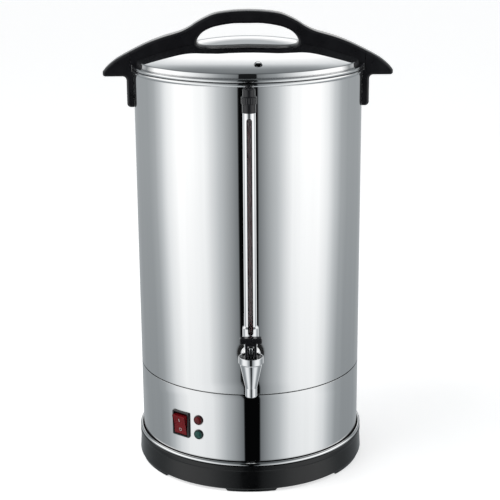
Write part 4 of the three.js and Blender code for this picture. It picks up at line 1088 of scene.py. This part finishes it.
# An outline's X runs towards -Y here, and its thickness along X
edgeways = Matrix.Rotation(-pi / 2, 4, "Z")
lever = together(
    *[shifted(placed(cheek, edgeways), x=side * (cheek_gap + cheek_half)) for side in (-1, 1)],
    placed(bridge, edgeways),
    placed(prism(bar_line, bar_half, 1.6), edgeways),
)
moulding("tap_lever", at_tap(lever, pin_height))
tongue_half = 3.2
tongue_round = 4.5
tongue_foot = bonnet_top + 1.5 - pin_height
tongue_line = arc(0, tongue_round - tongue_half, tongue_half, tongue_half, 0, 180, 20) + [
    (-tongue_half, tongue_foot), (tongue_half, tongue_foot),
]
tongue = prism(tongue_line, tongue_round, 2.2)
stem = rod(stem_radius, stem_low.z - pin_height, bonnet_top + 2 - pin_height)
skin("valve_stem", at_tap(together(stem, tongue), pin_height), "chrome")
pin = lathe([
    (0, pin_low.x), (pin_radius, pin_low.x, 0.4), (pin_radius, pin_high.x, 0.4), (0, pin_high.x),
], ROD_SIDES)
skin("lever_pin", at_tap(placed(pin, ALONG_X), pin_height))

# Sight gauge: slotted shield over the glass, and the cap whose arm goes to the wall

shield_foot = shield_low.z
shield_top = shield_high.z
shield_radius = 7.1
shield_inner = 6.1
collar_rise = 9.8
slot_half = 3.1
slot_foot = shield_foot + 2.6
slot_top = shield_top - 5.4


def slotted_tube():
    """A tube open along its front, from one slot edge round the back to the other."""
    around = 56
    end_steps = 8
    ends = [slot_half * (1 - cos(pi / 2 * k / end_steps)) for k in range(1, end_steps + 1)]
    collar_end = shield_foot + collar_rise
    cone_end = collar_end + boss_rim - shield_radius
    heights = sorted({
        shield_foot, shield_foot + 0.5, slot_foot, collar_end, cone_end, cone_end + 1,
        slot_top, shield_top - 0.4, shield_top,
        *[slot_foot + step for step in ends], *[slot_top - step for step in ends],
    })
    grids = []
    for outside in (True, False):
        grids.append([])
        for height in heights:
            radius = shield_inner
            if outside:
                cone = boss_rim - (height - collar_end)
                radius = boss_rim if height <= collar_end else max(shield_radius, cone)
            reach = min(height - slot_foot, slot_top - height, slot_half)
            opening = sqrt(slot_half ** 2 - (slot_half - reach) ** 2) if reach > 0 else 0
            half = asin(opening / radius)
            angles = [half + (tau - 2 * half) * i / around for i in range(around + 1)]
            grids[-1].append([(radius * sin(a), -radius * cos(a), height) for a in angles])
    return double_wall(grids, [k for k, height in enumerate(heights) if slot_foot <= height < slot_top])


skin("gauge_shield", at_gauge(slotted_tube()))
glass_radius = glass_high.x
glass_wall = 1.1
glass = tube(glass_radius - glass_wall, glass_radius, glass_low.z, glass_high.z, SMALL_SIDES, edge=0.4)
glass_skin = skin("gauge_glass", at_gauge(glass))
glass_skin.visible_shadow = False

cap_foot, cap_top = cap_low.z, cap_high.z
skirt_radius = 7.6
cap_ring = cap_high.x
head_radius = cap_ring - 1.8
ring_foot = cap_foot + 9.2
ring_top = ring_foot + 8.5
arm_height = cap_foot + 13.4
arm_radius = 4.4
knurl_count = 24
knurl_depth = 0.28


def knurl(angle, radius, height):
    """Fine upright grooves round the cap's widest band."""
    if radius < cap_ring - 0.05 or not ring_foot + 1 < height < ring_top - 1:
        return 0
    return knurl_depth * (0.5 - 0.5 * cos(knurl_count * angle))


cap = lathe([
    (glass_radius + TOUCH, cap_foot),
    (skirt_radius, cap_foot, 0.5),
    (skirt_radius, ring_foot, 0.3),
    (cap_ring, ring_foot + 0.5, 0.3),
    (cap_ring, ring_foot + 1.2),
    (cap_ring, ring_foot + 1.6),
    (cap_ring, ring_top - 1.6),
    (cap_ring, ring_top - 1.2),
    (cap_ring, ring_top - 0.6, 0.4),
    (head_radius, ring_top, 0.4),
    (head_radius, cap_top, 1.2),
    (0, cap_top),
    (0, glass_high.z + TOUCH),
    (glass_radius + TOUCH, glass_high.z + TOUCH),
], SIDES, knurl)
arm = placed(rod(arm_radius, 0, gauge_reach - body_radius - 0.1, SMALL_SIDES), turned_back)
skin("gauge_cap", at_gauge(together(cap, shifted(arm, z=arm_height))))

# Rocker switch


def on_wall(shape, angle, height):
    return spun(shifted(shape, z=height), angle)


bezel_proud = 1.9
bezel_front = -body_radius - bezel_proud
bezel_back = 1.2 - body_radius
case_width, case_height = bezel_width - 1.6, bezel_height - 1.6
case_depth = 24
rocker_width = bezel_width - 6
rocker_half = bezel_height / 2 - 3.2
pivot_depth = 3
rocker_tilt = radians(10)
rocker_edge = pivot_depth + rocker_half * tan(rocker_tilt)
pocket_half = hypot(rocker_half, rocker_edge) + 0.4
pocket_width = rocker_width + 0.8
pocket_depth = 11
housing = boxed([
    (bezel_front + case_depth, case_width, case_height, 0.5),
    (bezel_back, case_width, case_height, 0.5),
    (bezel_back, bezel_width, bezel_height, 1.5),
    (bezel_front + 0.7, bezel_width, bezel_height, 1.5),
    (bezel_front + 0.2, bezel_width - 0.3, bezel_height - 0.3, 1.35),
    (bezel_front, bezel_width - 1, bezel_height - 1, 1),
    (bezel_front, pocket_width + 0.8, pocket_half * 2 + 0.8, 0.8),
    (bezel_front + 0.4, pocket_width, pocket_half * 2, 0.4),
    (bezel_front + pocket_depth, pocket_width, pocket_half * 2, 0.4),
])
skin("switch_housing", on_wall(housing, switch_angle, switch_height))
rocker_back = pivot_depth - 7
dish_depth = 1.2
dish_line = spline([(-rocker_half, 0), (0, dish_depth), (rocker_half, 0)], 10)
rocker_line = soften([
    (rocker_edge, rocker_half, 0.6),
    (rocker_back, rocker_half - 1.75),
    (rocker_back, -rocker_half + 1.75),
    (rocker_edge, -rocker_half, 0.6),
] + [(rocker_edge - fall, z) for z, fall in dish_line[2:-2]])
rocker = placed(prism(rocker_line, rocker_width / 2, 0.8), edgeways)
tip = Matrix.Rotation(rocker_tilt, 4, "X")


def rocker_place(shape):
    return on_wall(shifted(placed(shape, tip), y=bezel_front + pivot_depth), switch_angle, switch_height)


skin("switch_rocker", rocker_place(rocker), sharp=45)
mark_proud = 0.14
mark_sunk = 0.3


def laid(shape, middle):
    """Lays a mark, whose Y is the height over the surface, on the rocker's dished face."""
    points, faces = shape
    return [
        (x, y - rocker_edge + height_on(dish_line, middle + z), middle + z) for x, y, z in points
    ], faces


mark_reach = rocker_half * 0.5
line_mark = boxed([(y, 0.9, 4.2, 0.4) for y in (mark_sunk, -mark_proud + 0.05, -mark_proud)])
ring_outer, ring_inner = 2.0, 1.4
round_mark = placed(tube(ring_inner, ring_outer, -mark_sunk, mark_proud, ROD_SIDES), ALONG_Y)
marks = together(laid(line_mark, mark_reach), laid(round_mark, -mark_reach))
piece("rocker_marks", rocker_place(marks), "rocker", "switch_red", material=marking)

# Lamps

lamp_angle = radians(-27.3)
lens_radius = 5.7
lens_flange = 1.6
lens_dome = 1.7
dome_radius = lens_radius * 0.8
lens_front = body_radius + TOUCH
lens_top = lens_front + lens_flange
dome_turns = [pi / 2 * k / 8 for k in range(8)]
lens = placed(lathe([
    (0, lens_front - 7),
    (dome_radius, lens_front - 7),
    (dome_radius, lens_top - 0.2),
    *[(dome_radius * cos(turn), lens_top + lens_dome * sin(turn)) for turn in dome_turns],
    (0, lens_top + lens_dome),
], SMALL_SIDES), ALONG_Y)
lens_rim = placed(lathe([
    (dome_radius + 0.05, lens_front - 0.5),
    (lens_radius, lens_front - 0.5),
    (lens_radius, lens_top, 0.7),
    (dome_radius + 0.05, lens_top + 0.1, 0.2),
], SMALL_SIDES), ALONG_Y)
for name in ("boil_lamp_lens", "warm_lamp_lens"):
    low, high = span(name)
    lamp_height = (low.z + high.z) / 2
    slot = slot_of[name]
    skin(name, on_wall(lens, lamp_angle, lamp_height))
    # Each rim takes the darker copy of its lens colour, painted shade round the lens
    shaded_rim_material = materials[f"{slot}_rim"]
    piece(f"{name}_rim", on_wall(lens_rim, lamp_angle, lamp_height), "urn", slot, material=shaded_rim_material)

# Power inlet at the back

inlet_proud = 2.7
inlet_front = -body_radius - inlet_proud
cavity_width, cavity_height, cavity_depth = 25, 18, 17
flange_width, flange_height = 50, 30
inlet = boxed([
    (inlet_front + 24, inlet_case_width, inlet_case_height, 1),
    (-body_radius + 0.5, inlet_case_width, inlet_case_height, 1),
    (-body_radius + 2.2, flange_width, flange_height, 4),
    (inlet_front + 0.8, flange_width, flange_height, 4),
    (inlet_front + 0.2, flange_width - 0.5, flange_height - 0.5, 3.8),
    (inlet_front, flange_width - 1.4, flange_height - 1.4, 3.4),
    (inlet_front, cavity_width + 1, cavity_height + 1, 4.2),
    (inlet_front + 0.5, cavity_width, cavity_height, 4),
    (inlet_front + cavity_depth, cavity_width, cavity_height, 4),
])
skin("inlet_body", on_wall(inlet, pi, inlet_height))

# Studio: white floor, soft daylight with a dark gap at the camera, one large soft lamp

COOLNESS = 0.13
ROOM_STRENGTH = 1.16
FLOOR_GLOW = 0.64
WHITE = (1, 1, 1, 1)
camera_azimuth = radians(-0.45)
gap_azimuth = camera_azimuth - radians(0.25)


def cooled(grey):
    """A grey with a blue cast, stronger the darker it is."""
    cool = COOLNESS * (1 - grey)
    return grey * (1 - cool), grey * (1 - cool * 0.4), grey


def studio_world():
    world = bpy.data.worlds.new("studio")
    bpy.context.scene.world = world
    world.use_nodes = True
    tree = world.node_tree
    tree.nodes.clear()
    calc = partial(maths, tree)
    blended = partial(mixed, tree)
    place = added(tree, "SeparateXYZ", added(tree, "TexCoord").outputs["Generated"]).outputs
    height = place["Z"]

    def greys(value, *stops):
        return ramp(tree, value, [(at, cooled(grey)) for at, grey in stops])

    def around(share, *stops):
        """Greys by how far a direction is turned from the gap, in degrees."""
        return greys(share, *[(turned_to / 180, grey) for turned_to, grey in stops])

    def oval(middle_x, half_x, middle_z, half_z, one_sided=False):
        """How far a direction lies from the middle of an oval, whose edge is at 1."""
        across = calc("DIVIDE", calc("SUBTRACT", place["X"], middle_x), half_x)
        up = calc("DIVIDE", calc("SUBTRACT", height, middle_z), half_z)
        if one_sided:
            up = calc("MAXIMUM", up, 0)
        return calc("SQRT", calc("ADD", calc("MULTIPLY", across, across), calc("MULTIPLY", up, up)))

    def vault():
        """The wall behind, bright in the middle and dim towards its sides and the ceiling."""
        wall = greys(
            calc("DIVIDE", oval(0.008, 0.25, 0.41, 0.29, one_sided=True), 2),
            (0.34, 1), (0.4, 0.84), (0.465, 0.66), (0.5, 0.44), (0.53, 0.3), (0.565, 0.21), (0.63, 0.15),
            (1, 0.2),
        )
        return blended(1, wall, greys(oval(0, 0.18, 0.33, 0.2), (0.45, 0.42), (1, 1)), "MULTIPLY")

    turn = calc("ARCTAN2", place["X"], calc("MULTIPLY", place["Y"], -1))
    # Well below the horizon the gap stands further round and is narrower
    low_down = greys(calc("ADD", height, 1), (0.629, 1), (0.632, 0))
    turned_by = calc("MULTIPLY", low_down, radians(2.3))
    closed_by = calc("MULTIPLY", low_down, radians(0.9))
    away = calc("ABSOLUTE", calc("SUBTRACT", calc("ADD", turn, -gap_azimuth), turned_by))
    away = calc("ADD", away, closed_by)
    narrowing = calc("SUBTRACT", 0.88, calc("MULTIPLY", calc("MINIMUM", height, -0.24), 0.5))
    share = calc("DIVIDE", calc("MULTIPLY", away, narrowing), pi)
    table = around(
        share, (0, 0.002), (9.7, 0.002), (10.1, 0.18), (30, 0.53), (45, 0.88), (60, 0.96), (75, 0.98),
        (88, 0.8), (98, 0.55), (108, 0.38), (120, 0.32), (150, 0.32), (180, 0.45),
    )
    backdrop = around(share, (0, 0.01), (9.55, 0.01), (9.95, 0.16), (30, 0.3), (60, 0.8), (80, 1), (180, 1))
    above = greys(calc("ADD", height, 0.5), (0.5, 0), (0.62, 1))
    ceiling = greys(height, (0, 1), (0.57, 1), (0.75, 0.17), (1, 0.14))
    low_table = greys(calc("ADD", height, 1), (0.56, 0.76), (0.8, 1))
    level = blended(1, ceiling, low_table, "MULTIPLY")
    room = blended(1, blended(above, table, backdrop), level, "MULTIPLY")
    far_side = calc("MULTIPLY", greys(place["Y"], (0.35, 0), (0.6, 1)), above)
    room = blended(far_side, room, vault())
    light_path = added(tree, "LightPath").outputs
    seen = calc("MAXIMUM", light_path["Is Camera Ray"], light_path["Is Transmission Ray"])
    strength = calc("SUBTRACT", ROOM_STRENGTH, calc("MULTIPLY", seen, ROOM_STRENGTH - 1))
    background = added(tree, "Background", blended(seen, room, WHITE), strength)
    added(tree, "OutputWorld", background.outputs["Background"])


def floor():
    mesh = bpy.data.meshes.new("studio_floor")
    reach = 12
    outline = [(-reach, -reach, 0), (reach, -reach, 0), (reach, reach, 0), (-reach, reach, 0)]
    mesh.from_pydata(outline, [], [(0, 1, 2, 3)])
    made = in_scene("studio_floor", mesh)
    paper, tree, shader = nodes_of("white_paper")
    colour = tinted(tree, noise(tree, 30), (0.9, 0.9, 0.9), (0.92, 0.92, 0.92))
    glow = maths(tree, "MULTIPLY", added(tree, "LightPath").outputs["Is Camera Ray"], FLOOR_GLOW)
    filled(tree, shader, colour, Roughness=0.9, Specular_IOR_Level=0.1)
    filled(tree, shader, Emission_Strength=glow, Emission_Color=WHITE)
    mesh.materials.append(paper)
    made.visible_glossy = False
    made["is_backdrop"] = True


def soft_lamp(name, place, target, size, power):
    light = bpy.data.lights.new(name, "AREA")
    light.shape = "RECTANGLE"
    light.size, light.size_y = size
    light.energy = power
    made = in_scene(name, light)
    made.location = place
    made.rotation_euler = (Vector(target) - Vector(place)).to_track_quat("-Z", "Y").to_euler()
    made.visible_glossy = False


# Camera, worked out from the round edges of lid, seam and base in the photograph

camera_tilt = radians(15.85)
camera_roll = radians(-0.391)
camera_place = Vector((1.9, -1566.1, 703.2))
camera = bpy.data.cameras.new("camera")
camera.lens = 95.19
camera.sensor_width = 36
camera.shift_x = -0.0013
eye = in_scene("camera", camera)
bpy.context.scene.camera = eye
orbit = Matrix.Rotation(camera_azimuth, 4, "Z")
aim = Matrix.Rotation(pi / 2 - camera_tilt, 4, "X") @ Matrix.Rotation(camera_roll, 4, "Z")
eye.matrix_world = Matrix.Translation(AXIS) @ orbit @ Matrix.Translation(camera_place * MM) @ aim

studio_world()
floor()
soft_lamp("soft_lamp", place=(-0.9, -0.5, 1.9), target=(0, 0, 0.3), size=(1.2, 1.2), power=14)

bpy.context.scene.view_settings.view_transform = "Standard"

low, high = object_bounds()
